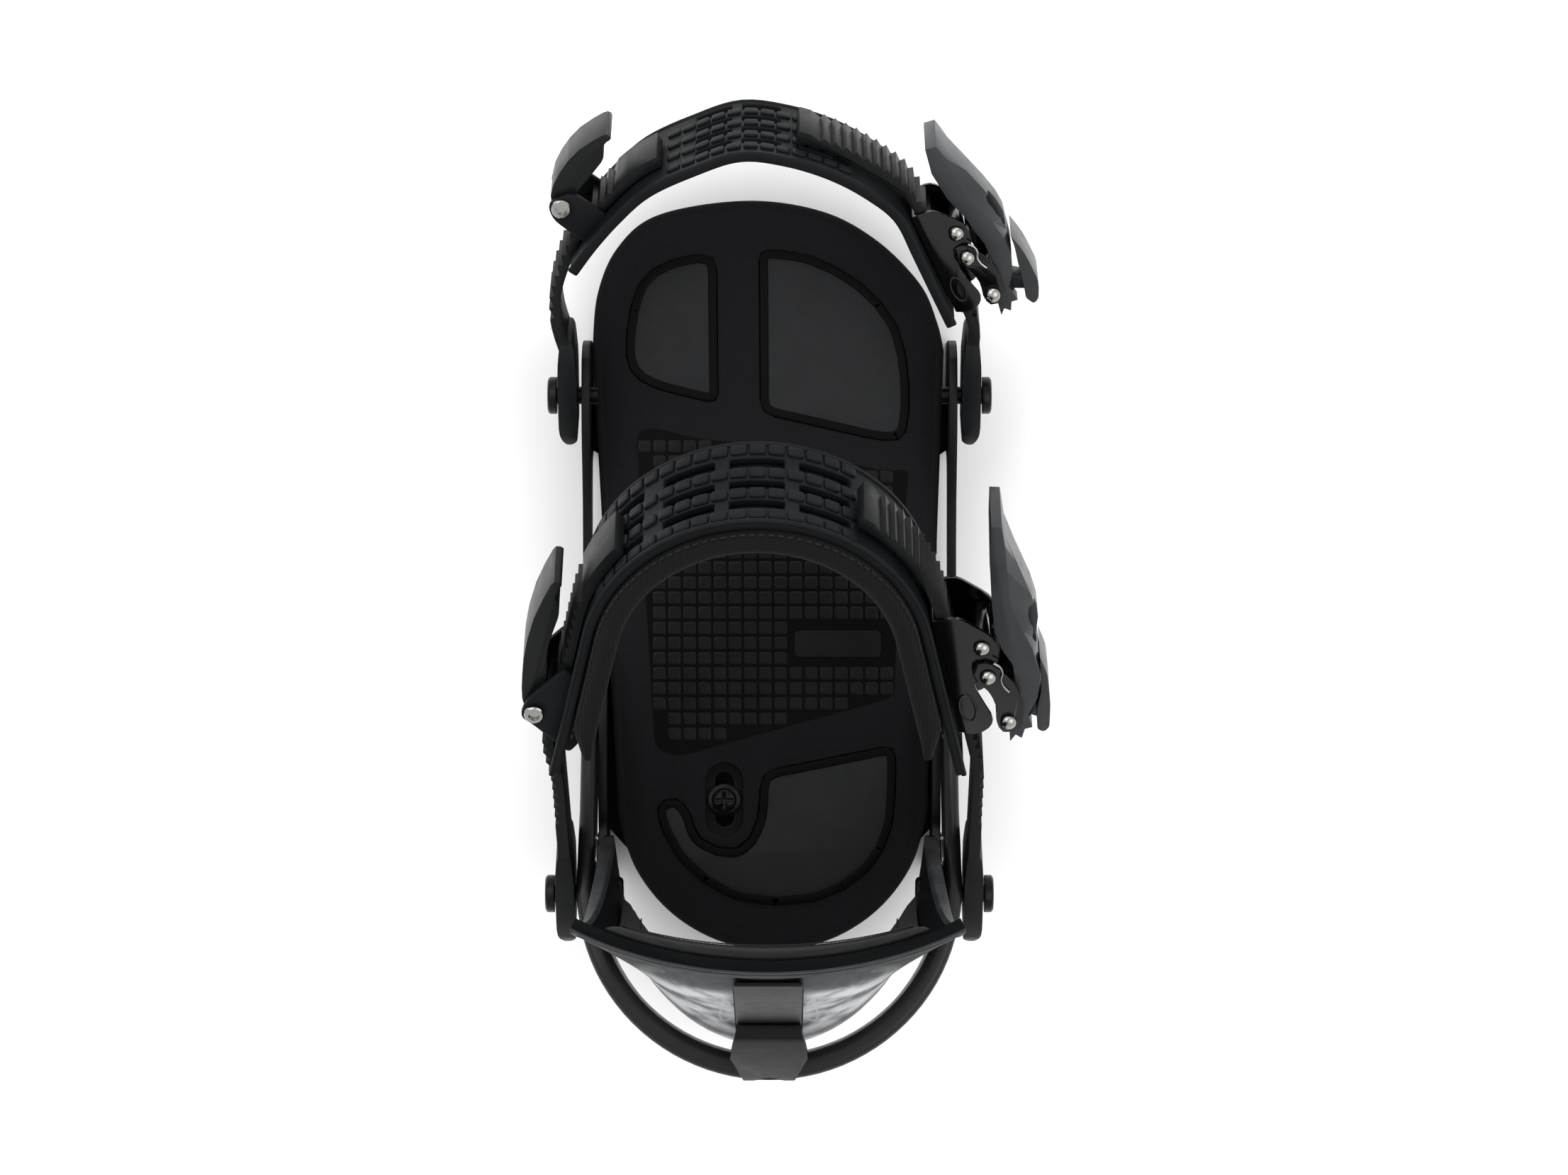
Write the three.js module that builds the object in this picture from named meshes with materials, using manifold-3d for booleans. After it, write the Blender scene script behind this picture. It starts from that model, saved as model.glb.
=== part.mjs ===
// A snowboard binding for the right foot, as an assembly of separate sub-parts.
//
// Frame: millimetres, +Z up, +Y towards the toe, +X to the rider's right. The origin is the centre of the
// mounting disc on the underside, which is where the binding meets the board.
//
// Both straps are drawn in a frame of their own: u across the foot, v from the strap's pivot bolts towards
// the top of the arch, w along the width of the band. A group turned about X puts each frame in place.

import * as THREE from "three";
import { mergeVertices } from "three/addons/utils/BufferGeometryUtils.js";
import Module from "manifold-3d";

const wasm = await Module();
wasm.setup();

// ---------------------------------------------------------------- driving sizes

const CLEAR = 0.35; // gap between pieces that touch on the real binding
const SLIDE = 0.5; // gap between pieces that slide or turn on each other

const floor = { thick: 8, waist: 48, front: 92, back: -84, rear: 54.6 };
const disc = { radius: 50, thick: 8, boltCircle: 28, slot: 3.2, travel: 5 };
const rail = { inner: 57.6, thick: 2.6, height: 30, arch: 12, archBack: -2, archFront: 56 };
const rearWall = { outer: 54.9, thick: 2.6, top: 40, front: 12, back: -82 };
const toePivot = { y: 71.3, z: 35, tilt: 28 };
const heelPivot = { y: -88, z: 52, tilt: 36 };
const pivotBolt = { shank: 3, head: 6, headThick: 3 };

const bed = { top: 25, bottom: 8.4, heel: 50, heelY: -57.7, travel: 6 };
const inlay = { depth: 2, gap: 0.6 };
const clampSlot = { x: -14.7, y: -59.3, radius: 2.6, recess: 5.8, recessDepth: 2.4 };

const hoop = { inner: 55.3, arm: 5.1, back: 7.5, centreY: -84.9, frontY: -10, backTop: 72, bulge: 0.7 };
const hoopBolt = { shank: 2.6, head: 4.6, headThick: 1.8, places: [[-28, 24], [-60, 32]] };

const back = { top: 224, bottom: 46, lean: 11.6, heelY: -137.4, half: 52.6, topHalf: 57, shell: 3.2, pad: 6 };
const spacer = { thick: 2.3, length: 19, height: 15 };
const innerBolt = { shank: 3, head: 5.3, headThick: 2.6 };
const track = { half: 10, thick: 1.4, from: 76, to: 205 };
const block = { half: 12, height: 26, deep: 13, screw: 4.5, taper: 4.6 };

const ladder = { thick: 3.6, width: 19.6, pitch: 3.65, tooth: 1.5 };
const paddle = {
  inner: hoop.inner + hoop.arm + hoop.bulge + SLIDE, thick: 6, half: 11.5, reach: 16, tail: 13,
};
const ear = { thick: 2.2, hole: 1.9, pin: 1.5, pinHead: 2.6, collar: 3.1 };
const ankle = {
  centre: [-3.5, 103.5], flare: 12, inner: 43, pad: 7.5, strap: 3.2, end: 61, low: -25, high: 17.5,
  pin: { out: 8.777, up: -35.334 }, buckle: { out: 13.546, up: -22.035 },
  window: { length: 16.4, turns: [-49, -24.5, 0, 24.5], rows: [[-16.8, -11.8], [-5, -0.6], [5.2, 9.4]] },
};
const toe = {
  strap: 3.6, low: -23, high: 20, pin: [-65.2, 71.6], buckle: [62.3, 54.5], buckleTurn: 24,
  window: { length: 11.6, places: [-18, -2, 14], rows: [[-19.6, -15.4], [-10.6, -6.4], [-1.6, 2.6], [7.4, 11.2]] },
};

// ---------------------------------------------------------------- materials

const finish = (color, roughness, metalness) =>
  new THREE.MeshStandardMaterial({ color, roughness, metalness });

const look = {
  chassis: finish(0x1d1f22, 0.55, 0.05),
  strap: finish(0x262a2f, 0.6, 0),
  foam: finish(0x171718, 0.95, 0),
  rubber: finish(0x2a2b2e, 0.75, 0),
  shell: finish(0x3b3f43, 0.35, 0),
  cast: finish(0x262a2f, 0.45, 0.6),
  steel: finish(0x111213, 0.2, 0.9),
  nickel: finish(0xc9c7c0, 0.2, 1),
};

// ---------------------------------------------------------------- solids

/** A closed three.js geometry as a manifold solid. */
function solid(geometry) {
  const bare = geometry.index ? geometry.toNonIndexed() : geometry.clone();
  for (const name of Object.keys(bare.attributes)) if (name !== "position") bare.deleteAttribute(name);
  const merged = mergeVertices(bare, 1e-4);
  const mesh = new wasm.Mesh({
    numProp: 3,
    vertProperties: new Float32Array(merged.attributes.position.array),
    triVerts: new Uint32Array(merged.index.array),
  });
  return new wasm.Manifold(mesh);
}

/** A manifold solid as a three.js geometry. */
function geometryOf(body) {
  const mesh = body.getMesh();
  const geometry = new THREE.BufferGeometry();
  geometry.setAttribute("position", new THREE.BufferAttribute(new Float32Array(mesh.vertProperties), 3));
  geometry.setIndex(new THREE.BufferAttribute(new Uint32Array(mesh.triVerts), 1));
  return geometry;
}

/** A closed outline from [x, y] or [x, y, radius] corners; a radius rounds its corner. */
function outline(corners) {
  const shape = new THREE.Shape();
  const count = corners.length;
  corners.forEach(([x, y, radius = 0], i) => {
    const here = new THREE.Vector2(x, y);
    const before = new THREE.Vector2(...corners[(i + count - 1) % count]);
    const after = new THREE.Vector2(...corners[(i + 1) % count]);
    const cut = (other) => {
      const away = other.clone().sub(here);
      return here.clone().add(away.setLength(Math.min(radius, away.length() * 0.49)));
    };
    const start = cut(before);
    if (i === 0) shape.moveTo(start.x, start.y);
    else shape.lineTo(start.x, start.y);
    if (radius > 0) {
      const end = cut(after);
      shape.quadraticCurveTo(x, y, end.x, end.y);
    }
  });
  shape.closePath();
  return shape;
}

/** The same corners moved inwards by a gap, with their radii changed to match. */
function inset(corners, gap) {
  const points = corners.map(([x, y]) => new THREE.Vector2(x, y));
  const turn = THREE.ShapeUtils.isClockWise(points) ? -1 : 1;
  return points.map((here, i) => {
    const before = points.at(i - 1);
    const after = points[(i + 1) % points.length];
    const into = here.clone().sub(before).normalize();
    const away = after.clone().sub(here).normalize();
    const normal = new THREE.Vector2(-into.y - away.y, into.x + away.x).multiplyScalar(turn);
    const reach = (2 * gap) / normal.lengthSq();
    const radius = corners[i][2] ?? 0;
    const inward = turn * into.cross(away) > 0;
    return [here.x + normal.x * reach, here.y + normal.y * reach, Math.max(0, radius + (inward ? -gap : gap))];
  });
}

/** A circle as a shape. */
function disk(x, y, radius) {
  return new THREE.Shape().absarc(x, y, radius, 0, 2 * Math.PI);
}

/** A slot with round ends between two points. */
function slotShape([x0, y0], [x1, y1], radius) {
  const angle = Math.atan2(y1 - y0, x1 - x0);
  const shape = new THREE.Shape();
  shape.absarc(x0, y0, radius, angle + Math.PI / 2, angle + 1.5 * Math.PI);
  shape.absarc(x1, y1, radius, angle - Math.PI / 2, angle + Math.PI / 2);
  shape.closePath();
  return shape;
}

/** A shape in the XY plane pushed from height a to height b. */
function prism(shape, a, b, segments = 2) {
  const options = { depth: b - a, bevelEnabled: false, curveSegments: segments };
  const geometry = new THREE.ExtrudeGeometry(shape, options);
  geometry.translate(0, 0, a);
  return solid(geometry);
}

/** The same for a shape drawn as (Y, Z), pushed along X from a to b. */
function prismX(shape, a, b, segments = 2) {
  const options = { depth: b - a, bevelEnabled: false, curveSegments: segments };
  const geometry = new THREE.ExtrudeGeometry(shape, options);
  geometry.translate(0, 0, a);
  const turn = new THREE.Matrix4().makeBasis(
    new THREE.Vector3(0, 1, 0), new THREE.Vector3(0, 0, 1), new THREE.Vector3(1, 0, 0));
  geometry.applyMatrix4(turn);
  return solid(geometry);
}

/** A block with the given lowest and highest corners. */
function block3(low, high) {
  const size = high.map((value, i) => value - low[i]);
  const geometry = new THREE.BoxGeometry(...size);
  geometry.translate(...low.map((value, i) => value + size[i] / 2));
  return solid(geometry);
}

/** A turned piece about X: stations of [x, radius], both ends on the axis, centred on (y, z). */
function turnedX(stations, y, z, segments = 16) {
  const profile = stations.map(([x, radius]) => new THREE.Vector2(radius, x));
  const geometry = new THREE.LatheGeometry(profile, segments);
  geometry.rotateZ(-Math.PI / 2);
  geometry.translate(0, y, z);
  return solid(geometry);
}

/** A turned piece about Z: stations of [z, radius] going up, centred on (x, y). */
function turnedZ(stations, x, y, segments = 20) {
  const profile = stations.map(([z, radius]) => new THREE.Vector2(radius, z));
  const geometry = new THREE.LatheGeometry(profile, segments);
  geometry.rotateX(Math.PI / 2);
  geometry.translate(x, y, 0);
  return solid(geometry);
}

/** A turned piece about Y at X = 0: stations of [y, radius] going forwards. */
function turnY(stations, z) {
  const profile = stations.map(([y, radius]) => new THREE.Vector2(radius, y));
  const geometry = new THREE.LatheGeometry(profile, 16);
  geometry.translate(0, 0, z);
  return solid(geometry);
}

/** A closed body through outlines of [x, y] points, each at its own height, all with the same count. */
function loft(sections) {
  const count = sections[0].points.length;
  const positions = sections.flatMap(({ height, points }) => points.flatMap(([x, y]) => [x, y, height]));
  const index = [];
  for (let base = 0; base < (sections.length - 1) * count; base += count) {
    for (let i = 0; i < count; i++) {
      const next = (i + 1) % count;
      index.push(base + i, base + next, base + next + count);
      index.push(base + i, base + next + count, base + i + count);
    }
  }
  const cap = ({ points }, base, top) => {
    const flat = points.map(([x, y]) => new THREE.Vector2(x, y));
    for (const face of THREE.ShapeUtils.triangulateShape(flat, [])) {
      const [a, b, c] = face.map((i) => base + i);
      index.push(...(top ? [a, b, c] : [a, c, b]));
    }
  };
  cap(sections[0], 0, false);
  cap(sections.at(-1), (sections.length - 1) * count, true);
  return meshSolid(positions, index);
}

/** A curved plate between two grids of [x, y, z] points, rows from low to high. */
function plate(outer, inner) {
  const rows = outer.length;
  const columns = outer[0].length;
  const positions = [...outer.flat(), ...inner.flat()].flat();
  const index = [];
  const quad = (a, b, c, d) => index.push(a, b, c, a, c, d);
  const out = (r, c) => r * columns + c;
  const into = (r, c) => (rows + r) * columns + c;
  for (let r = 0; r + 1 < rows; r++) {
    for (let c = 0; c + 1 < columns; c++) {
      quad(out(r, c), out(r, c + 1), out(r + 1, c + 1), out(r + 1, c));
      quad(into(r, c), into(r + 1, c), into(r + 1, c + 1), into(r, c + 1));
    }
    quad(out(r, 0), out(r + 1, 0), into(r + 1, 0), into(r, 0));
    quad(out(r, columns - 1), into(r, columns - 1), into(r + 1, columns - 1), out(r + 1, columns - 1));
  }
  for (let c = 0; c + 1 < columns; c++) {
    quad(out(0, c), into(0, c), into(0, c + 1), out(0, c + 1));
    quad(out(rows - 1, c), out(rows - 1, c + 1), into(rows - 1, c + 1), into(rows - 1, c));
  }
  return meshSolid(positions, index);
}

/** Positions and triangles as a solid. */
function meshSolid(positions, index) {
  const geometry = new THREE.BufferGeometry();
  geometry.setAttribute("position", new THREE.BufferAttribute(new Float32Array(positions), 3));
  geometry.setIndex(index);
  return solid(geometry);
}

/** A cutter or boss along a line in the (u, v) plane of a strap, a box turned to the line's direction. */
function boxAlong(origin, direction, size, low, high) {
  const [length, reach] = size;
  const geometry = new THREE.BoxGeometry(length, reach, high - low);
  geometry.rotateZ(Math.atan2(direction.y, direction.x));
  geometry.translate(origin.x, origin.y, (low + high) / 2);
  return solid(geometry);
}

const root = new THREE.Group();

/** Adds one named sub-part to a group. */
function add(name, body, material, group = root) {
  const mesh = new THREE.Mesh(geometryOf(body), material);
  mesh.name = name;
  group.add(mesh);
}

const rad = THREE.MathUtils.degToRad;
const mirrored = (body) => body.mirror([1, 0, 0]);

// ---------------------------------------------------------------- chassis and disc

/** The floor outline: wide at both ends under the rails, narrow in the middle. */
function floorOutline() {
  const wide = rail.inner + rail.thick;
  const half = [
    [wide, floor.front - 22, 4], [wide, rail.archFront, 2], [floor.waist, rail.archFront - 8, 3],
    [floor.waist, rail.archBack + 8, 3], [wide, rail.archBack, 2], [wide, hoop.frontY + 1, 1],
    [floor.rear, hoop.frontY + 1], [floor.rear, floor.back + 14, 10], [floor.rear - 20, floor.back, 8],
  ];
  const toe = [[wide - 16, floor.front, 12]];
  const left = half.map(([x, y, r]) => [-x, y, r]);
  return outline([...toe.map(([x, y, r]) => [-x, y, r]), ...left, ...half.toReversed(), ...toe]);
}

/** One side rail: a thin wall with an arch below it and a round boss at the toe strap's pivot. */
function railWall() {
  const { y, z } = toePivot;
  const front = y + rail.thick * 7;
  const shape = outline([
    [front, 0], [front, z - 8, 4], [y + 14, z + 10, 12], [y - 12, z + 9, 10], [y - 34, rail.height, 14],
    [hoop.frontY + 1, rail.height - 2, 3], [hoop.frontY + 1, 0],
    [rail.archBack, 0], [rail.archBack + 6, rail.arch, 5], [rail.archFront - 6, rail.arch, 5],
    [rail.archFront, 0],
  ]);
  const wall = prismX(shape, rail.inner, rail.inner + rail.thick);
  return wall.subtract(boltHole(toePivot, rail.inner - 1, rail.inner + rail.thick + 1));
}

/** A hole for a pivot bolt's shank at a strap's pivot. */
function boltHole({ y, z }, from, to) {
  return prismX(disk(y, z, pivotBolt.shank + CLEAR), from, to, 8);
}

/** The upright wall that a hoop arm is bolted to. */
function hoopWall() {
  const inner = rearWall.outer - rearWall.thick;
  const shape = outline([
    [rearWall.front, 0], [rearWall.front, bed.top - 6, 4], [rearWall.front - 30, bed.top + 6, 10],
    [-42, rearWall.top, 10], [rearWall.back + 16, rearWall.top, 4], [rearWall.back, rearWall.top - 22, 5],
    [rearWall.back, 0],
  ]);
  let wall = prismX(shape, inner, rearWall.outer);
  for (const [y, z] of hoopBolt.places) {
    wall = wall.subtract(prismX(disk(y, z, hoopBolt.shank + CLEAR), inner - 1, rearWall.outer + 1, 6));
  }
  return wall;
}

function chassis() {
  const sideWalls = railWall().add(hoopWall());
  let body = prism(floorOutline(), 0, floor.thick).add(sideWalls).add(mirrored(sideWalls));
  body = body.subtract(turnedZ([[-1, 0], [-1, disc.radius + SLIDE], [floor.thick + 1, disc.radius + SLIDE],
    [floor.thick + 1, 0]], 0, 0, 36));
  body = body.subtract(prism(disk(clampSlot.x, clampSlot.y, clampSlot.radius), -1, 20, 6));
  add("baseplate", body, look.chassis);
}

/** The round plate that clamps the chassis to the board, with four slots for its screws. */
function mountingDisc() {
  let body = turnedZ([[0, 0], [0, disc.radius], [disc.thick - 2, disc.radius], [disc.thick, disc.radius - 2],
    [disc.thick, 0]], 0, 0, 36);
  const reach = disc.boltCircle / Math.SQRT2;
  for (const x of [-1, 1]) {
    for (const y of [-1, 1]) {
      const ends = (radius) => slotShape([x * reach, y * reach - disc.travel], [x * reach, y * reach + disc.travel],
        radius);
      body = body.subtract(prism(ends(disc.slot), -1, disc.thick + 1, 4));
      body = body.subtract(prism(ends(disc.slot + 2.4), disc.thick - 3.5, disc.thick + 1, 4));
    }
  }
  add("mounting_disc", body, look.chassis);
}

// ---------------------------------------------------------------- heel hoop

/** The hoop seen from above: two arms and a half circle round the heel. */
function hoopPlan() {
  const outer = hoop.inner + hoop.arm;
  const heelOut = outer + hoop.bulge;
  const heelIn = heelOut - hoop.back;
  const shape = new THREE.Shape();
  shape.moveTo(outer, hoop.frontY);
  shape.lineTo(outer, hoop.centreY + 22);
  shape.lineTo(heelOut, hoop.centreY);
  shape.absarc(0, hoop.centreY, heelOut, 0, -Math.PI, true);
  shape.lineTo(-outer, hoop.centreY + 22);
  shape.lineTo(-outer, hoop.frontY);
  shape.lineTo(-hoop.inner, hoop.frontY);
  const spacerEnd = heelPivot.y - spacer.length / 2 - SLIDE;
  shape.lineTo(-hoop.inner, spacerEnd);
  const start = Math.asin((hoop.centreY - spacerEnd + 7) / heelIn);
  shape.absarc(0, hoop.centreY, heelIn, Math.PI + start, 2 * Math.PI - start, false);
  shape.lineTo(hoop.inner, spacerEnd);
  shape.lineTo(hoop.inner, hoop.frontY);
  shape.closePath();
  return prism(shape, 0, 120, 10);
}

/** The hoop seen from the side: arms climbing from the rails to the heel. */
function hoopSide() {
  const { y, z } = heelPivot;
  const shape = outline([
    [hoop.frontY + 2, floor.thick + 3, 6], [hoop.frontY + 2, 31, 8], [-40, 42, 20], [y + 18, z + 8, 8],
    [y, z + 16, 14], [-130, hoop.backTop, 20], [-150, hoop.backTop], [-150, hoop.backTop - 14],
    [-128, hoop.backTop - 16, 16], [y - 4, z - 15, 10], [y + 16, z - 20, 12], [-40, 14, 16],
  ]);
  return prismX(shape, -80, 80, 2);
}

function heelHoop() {
  const outer = hoop.inner + hoop.arm;
  let body = hoopPlan().intersect(hoopSide());
  for (const side of [1, -1]) {
    const put = (cutter) => (side === 1 ? cutter : mirrored(cutter));
    body = body.subtract(put(boltHole(heelPivot, hoop.inner - 3, outer + 3)));
    for (const [y, z] of hoopBolt.places) {
      const seat = outer - hoopBolt.headThick - CLEAR;
      body = body.subtract(put(prismX(disk(y, z, hoopBolt.shank + CLEAR), hoop.inner - 1, outer + 1, 6)));
      body = body.subtract(put(prismX(disk(y, z, hoopBolt.head + CLEAR), seat, outer + 1, 8)));
    }
  }
  add("heel_hoop", body, look.chassis);
}

/** The flush screws that hold each hoop arm to the chassis wall. */
function hoopBolts() {
  const outer = hoop.inner + hoop.arm;
  const tip = rearWall.outer - rearWall.thick;
  hoopBolt.places.forEach(([y, z], i) => {
    const seat = outer - hoopBolt.headThick;
    const body = turnedX([[tip, 0], [tip, hoopBolt.shank], [seat, hoopBolt.shank], [seat, hoopBolt.head],
      [outer, hoopBolt.head - 0.6], [outer, 0]], y, z);
    const place = i === 0 ? "front" : "rear";
    add(`hoop_screw_${place}_right`, body, look.steel);
    add(`hoop_screw_${place}_left`, mirrored(body), look.steel);
  });
}

// ---------------------------------------------------------------- footbed

/** The footbed's outline, round at the heel and skewed at the toes. */
function bedShape() {
  const { heel, heelY } = bed;
  const shape = new THREE.Shape();
  const angle = rad(7);
  shape.absarc(1, heelY, heel, Math.PI + angle, 2 * Math.PI - angle, false);
  shape.lineTo(56, 86);
  shape.splineThru([[54, 95], [48.4, 107.6], [34.5, 121.6], [16.8, 131], [-7.7, 134.4], [-35.7, 129.9],
    [-49, 119.3], [-55.5, 104], [-57, 86]].map(([x, y]) => new THREE.Vector2(x, y)));
  shape.closePath();
  return shape;
}

const inlays = {
  toe_pad_left: [[-17, 118, 6], [-16.4, 68.6, 4], [-38, 73.6, 8], [-46, 79, 8], [-47, 90, 12], [-43.5, 109, 16],
    [-32, 116.5, 10]],
  toe_pad_right: [[-3.6, 119.2, 4], [13, 118, 12], [30, 109, 14], [42.5, 95, 16], [45.6, 76, 8], [45, 58, 12],
    [37.9, 56.2, 8], [-3.2, 65.6, 5]],
  heel_pad: [[41, -41, 5], [41, -68, 16], [33, -83, 16], [16, -93.5, 22], [-12, -93.5, 20], [-31, -79, 16],
    [-38, -61, 6], [-30, -57.4, 6], [-24.8, -64, 8], [-23.4, -72, 10], [-10, -76.5, 12], [-3.4, -66, 8],
    [-3.4, -50, 6]],
};

function footbed() {
  let body = prism(bedShape(), bed.bottom, bed.top, 4);
  body = body.subtract(prism(slotShape([-20, 0], [20, 0], 30), bed.bottom - 1, bed.bottom + 3.2, 8));
  for (const corners of Object.values(inlays)) {
    body = body.subtract(prism(outline(corners), bed.top - inlay.depth, bed.top + 1));
  }
  const ends = [[clampSlot.x, clampSlot.y - bed.travel], [clampSlot.x, clampSlot.y + bed.travel]];
  body = body.subtract(prism(slotShape(...ends, clampSlot.radius + SLIDE), bed.bottom - 1, bed.top + 1, 5));
  const floorOfRecess = bed.top - clampSlot.recessDepth;
  body = body.subtract(prism(slotShape(...ends, clampSlot.recess + SLIDE), floorOfRecess, bed.top + 1, 6));
  for (const side of [1, -1]) body = body.subtract(bedSideCut(side));
  add("footbed", body, look.foam);
}

/** The step in the footbed's side that lets it pass the chassis walls. */
function bedSideCut(side) {
  const inner = rearWall.outer - rearWall.thick - SLIDE;
  const cut = block3([inner, rearWall.back - 20, bed.bottom - 1], [80, rearWall.front + bed.travel + 2, bed.top + 1]);
  return side === 1 ? cut : mirrored(cut);
}

/** The smooth rubber pads let into the footbed. */
function footbedPads() {
  for (const [name, corners] of Object.entries(inlays)) {
    const shape = outline(inset(corners, inlay.gap));
    add(name, prism(shape, bed.top - inlay.depth + CLEAR, bed.top + 0.2), look.rubber);
  }
}

/** The screw and washer that clamp the footbed to the floor. */
function clampScrew() {
  const { x, y, radius } = clampSlot;
  const seat = bed.top - clampSlot.recessDepth + CLEAR;
  const washer = turnedZ([[seat, 0], [seat, 5.3], [seat + 1.1, 5.3], [seat + 1.1, 0]], x, y)
    .subtract(prism(disk(x, y, radius), seat - 1, seat + 3, 6));
  add("footbed_washer", washer, look.steel);
  const head = seat + 1.1 + CLEAR;
  const shank = radius - CLEAR - 0.2;
  const screw = turnedZ([[2, 0], [2, shank], [head, shank], [head, 4], [head + 1.4, 3.4], [head + 2, 0]], x, y);
  const cross = block3([x - 2.8, y - 0.5, head + 0.7], [x + 2.8, y + 0.5, head + 3])
    .add(block3([x - 0.5, y - 2.8, head + 0.7], [x + 0.5, y + 2.8, head + 3]));
  add("footbed_screw", screw.subtract(cross), look.steel);
}

// ---------------------------------------------------------------- highback

const tanLean = Math.tan(rad(back.lean));

/** Where the highback's outer skin crosses the middle plane at a height. */
function backMiddle(z) {
  return back.heelY + (z - back.bottom) * tanLean;
}

/** A point on the highback: a height, a place across from -1 to 1, and a depth in from the outer skin. */
function backPoint(height, across, depth) {
  const rise = (height - back.bottom) / (back.top - back.bottom);
  const half = THREE.MathUtils.lerp(back.half, back.topHalf, rise);
  const reach = 12 + 58 * Math.max(0, 1 - rise) ** 1.7;
  const spread = rad(THREE.MathUtils.lerp(90, 38, rise));
  const angle = across * spread;
  const radiusX = half / Math.sin(spread);
  const radiusY = reach / (1 - Math.cos(spread));
  const normal = new THREE.Vector2(-Math.sin(angle) / radiusX, Math.cos(angle) / radiusY).normalize();
  const x = radiusX * Math.sin(angle) + normal.x * depth;
  const y = backMiddle(height) + radiusY * (1 - Math.cos(angle)) + normal.y * depth;
  return [x, y, height - 9 * across ** 2 * rise ** 4];
}

/** A curved plate of the highback between two depths, which may depend on the place across. */
function backPlate(low, high, margin, outerDepth, innerDepth, rows = 7) {
  const half = 6;
  const grid = (depth) => Array.from({ length: rows }, (_, r) =>
    Array.from({ length: 2 * (half - margin) + 1 }, (_, c) => {
      const across = (c + margin) / half - 1;
      return backPoint(low + (high - low) * r / (rows - 1), across, depth(across));
    }));
  return plate(grid(outerDepth), grid(innerDepth));
}

/** The bolts that the highback turns on stay clear of its pad, and its wings are round below them. */
function highback() {
  const wingLow = heelPivot.z - 11;
  let shell = backPlate(wingLow - 1, back.top, 0, () => 0, () => back.shell);
  const keep = outline([
    [-160, back.bottom + 4], [-116, back.bottom + 4, 8], [-102, wingLow, 8], [-76, wingLow, 9], [-68, 54, 8],
    [-60, 90], [-60, 260], [-160, 260],
  ]);
  shell = shell.intersect(prismX(keep, -90, 90));
  const wingIn = back.half - back.shell;
  const { y, z } = heelPivot;
  for (const put of [(body) => body, mirrored]) {
    shell = shell.add(put(prismX(disk(y, z, 10), wingIn, back.half, 8)));
    shell = shell.subtract(put(prismX(disk(y, z, innerBolt.head + 2), wingIn - 20, wingIn, 8)));
  }
  shell = shell.subtract(boltHole(heelPivot, -90, 90));
  add("highback_shell", shell, look.shell);
  const padFoot = back.shell + 2 * CLEAR;
  const padDepth = (across) => padFoot + back.pad * (1 - 0.72 * across ** 2);
  const pad = backPlate(heelPivot.z + 13, back.top - 3, 1, () => padFoot, padDepth);
  add("highback_pad", pad, look.foam);
}

/** The bolts, heads inside, and the spacers between the highback's wings and the hoop arms. */
function highbackPivots() {
  const { y, z } = heelPivot;
  const wingIn = back.half - back.shell;
  const seat = wingIn - CLEAR;
  const boltBody = turnedX([[seat - innerBolt.headThick, 0], [seat - innerBolt.headThick, innerBolt.head - 0.8],
    [seat - 0.8, innerBolt.head], [seat, innerBolt.head], [seat, innerBolt.shank],
    [hoop.inner + hoop.arm / 2 - CLEAR, innerBolt.shank], [hoop.inner + hoop.arm / 2 - CLEAR, 0]], y, z);
  const spacerIn = hoop.inner - spacer.thick - CLEAR / 2;
  const shape = outline([[y - spacer.length / 2, z - spacer.height / 2, 3],
    [y + spacer.length / 2, z - spacer.height / 2, 3], [y + spacer.length / 2, z + spacer.height / 2, 3],
    [y - spacer.length / 2, z + spacer.height / 2, 3]]);
  const spacerBody = prismX(shape, spacerIn, hoop.inner - CLEAR / 2)
    .subtract(boltHole(heelPivot, spacerIn - 1, hoop.inner + 1));
  for (const [side, put] of Object.entries({ right: (body) => body, left: mirrored })) {
    add(`highback_bolt_${side}`, put(boltBody), look.steel);
    add(`pivot_spacer_${side}`, put(spacerBody), look.chassis);
  }
}

/** The forward-lean stop: a track on the highback's back, and a block on it that rests on the hoop. */
function forwardLean() {
  const face = (z, out) => backMiddle(z) - CLEAR - out;
  const strip = outline([[face(track.from, 0), track.from], [face(track.to, 0), track.to],
    [face(track.to, track.thick), track.to], [face(track.from, track.thick), track.from]]);
  add("lean_track", prismX(strip, -track.half, track.half), look.strap);
  const low = hoop.backTop + CLEAR;
  const inner = (z) => face(z, track.thick + CLEAR);
  const top = low + 2 * block.height - 3;
  const rear = hoop.centreY - hoop.inner - hoop.arm + 0.5;
  const side = outline([[inner(low), low], [inner(top), top, 1], [inner(top) - 5, top, 2],
    [inner(top) - block.deep, top - 18, 4], [rear, low + 14, 3], [rear, low]]);
  const plan = outline([[-block.half + 2, -100], [block.half - 2, -100], [block.half - 2, -126],
    [block.half, -136], [block.half - block.taper, rear - 1], [block.taper - block.half, rear - 1],
    [-block.half, -136], [-block.half + 2, -126]]);
  let body = prismX(side, -block.half, block.half).intersect(prism(plan, 0, 200));
  const screwZ = low + 12;
  const seat = inner(screwZ) - 5;
  body = body.subtract(turnY([[seat - 20, 0], [seat - 20, block.screw + CLEAR], [seat, block.screw + CLEAR],
    [seat, 0]], screwZ));
  body = body.subtract(turnY([[seat - 1, 0], [seat - 1, 2.6], [seat + 20, 2.6], [seat + 20, 0]], screwZ));
  add("lean_block", body, look.strap);
  const head = seat - CLEAR;
  const screw = turnY([[head - 2.4, 0], [head - 2.4, block.screw - 0.8], [head - 1.4, block.screw],
    [head, block.screw], [head, 2.2], [inner(screwZ) - 0.3, 2.2], [inner(screwZ) - 0.3, 0]], screwZ);
  add("lean_screw", screw, look.steel);
}

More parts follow.
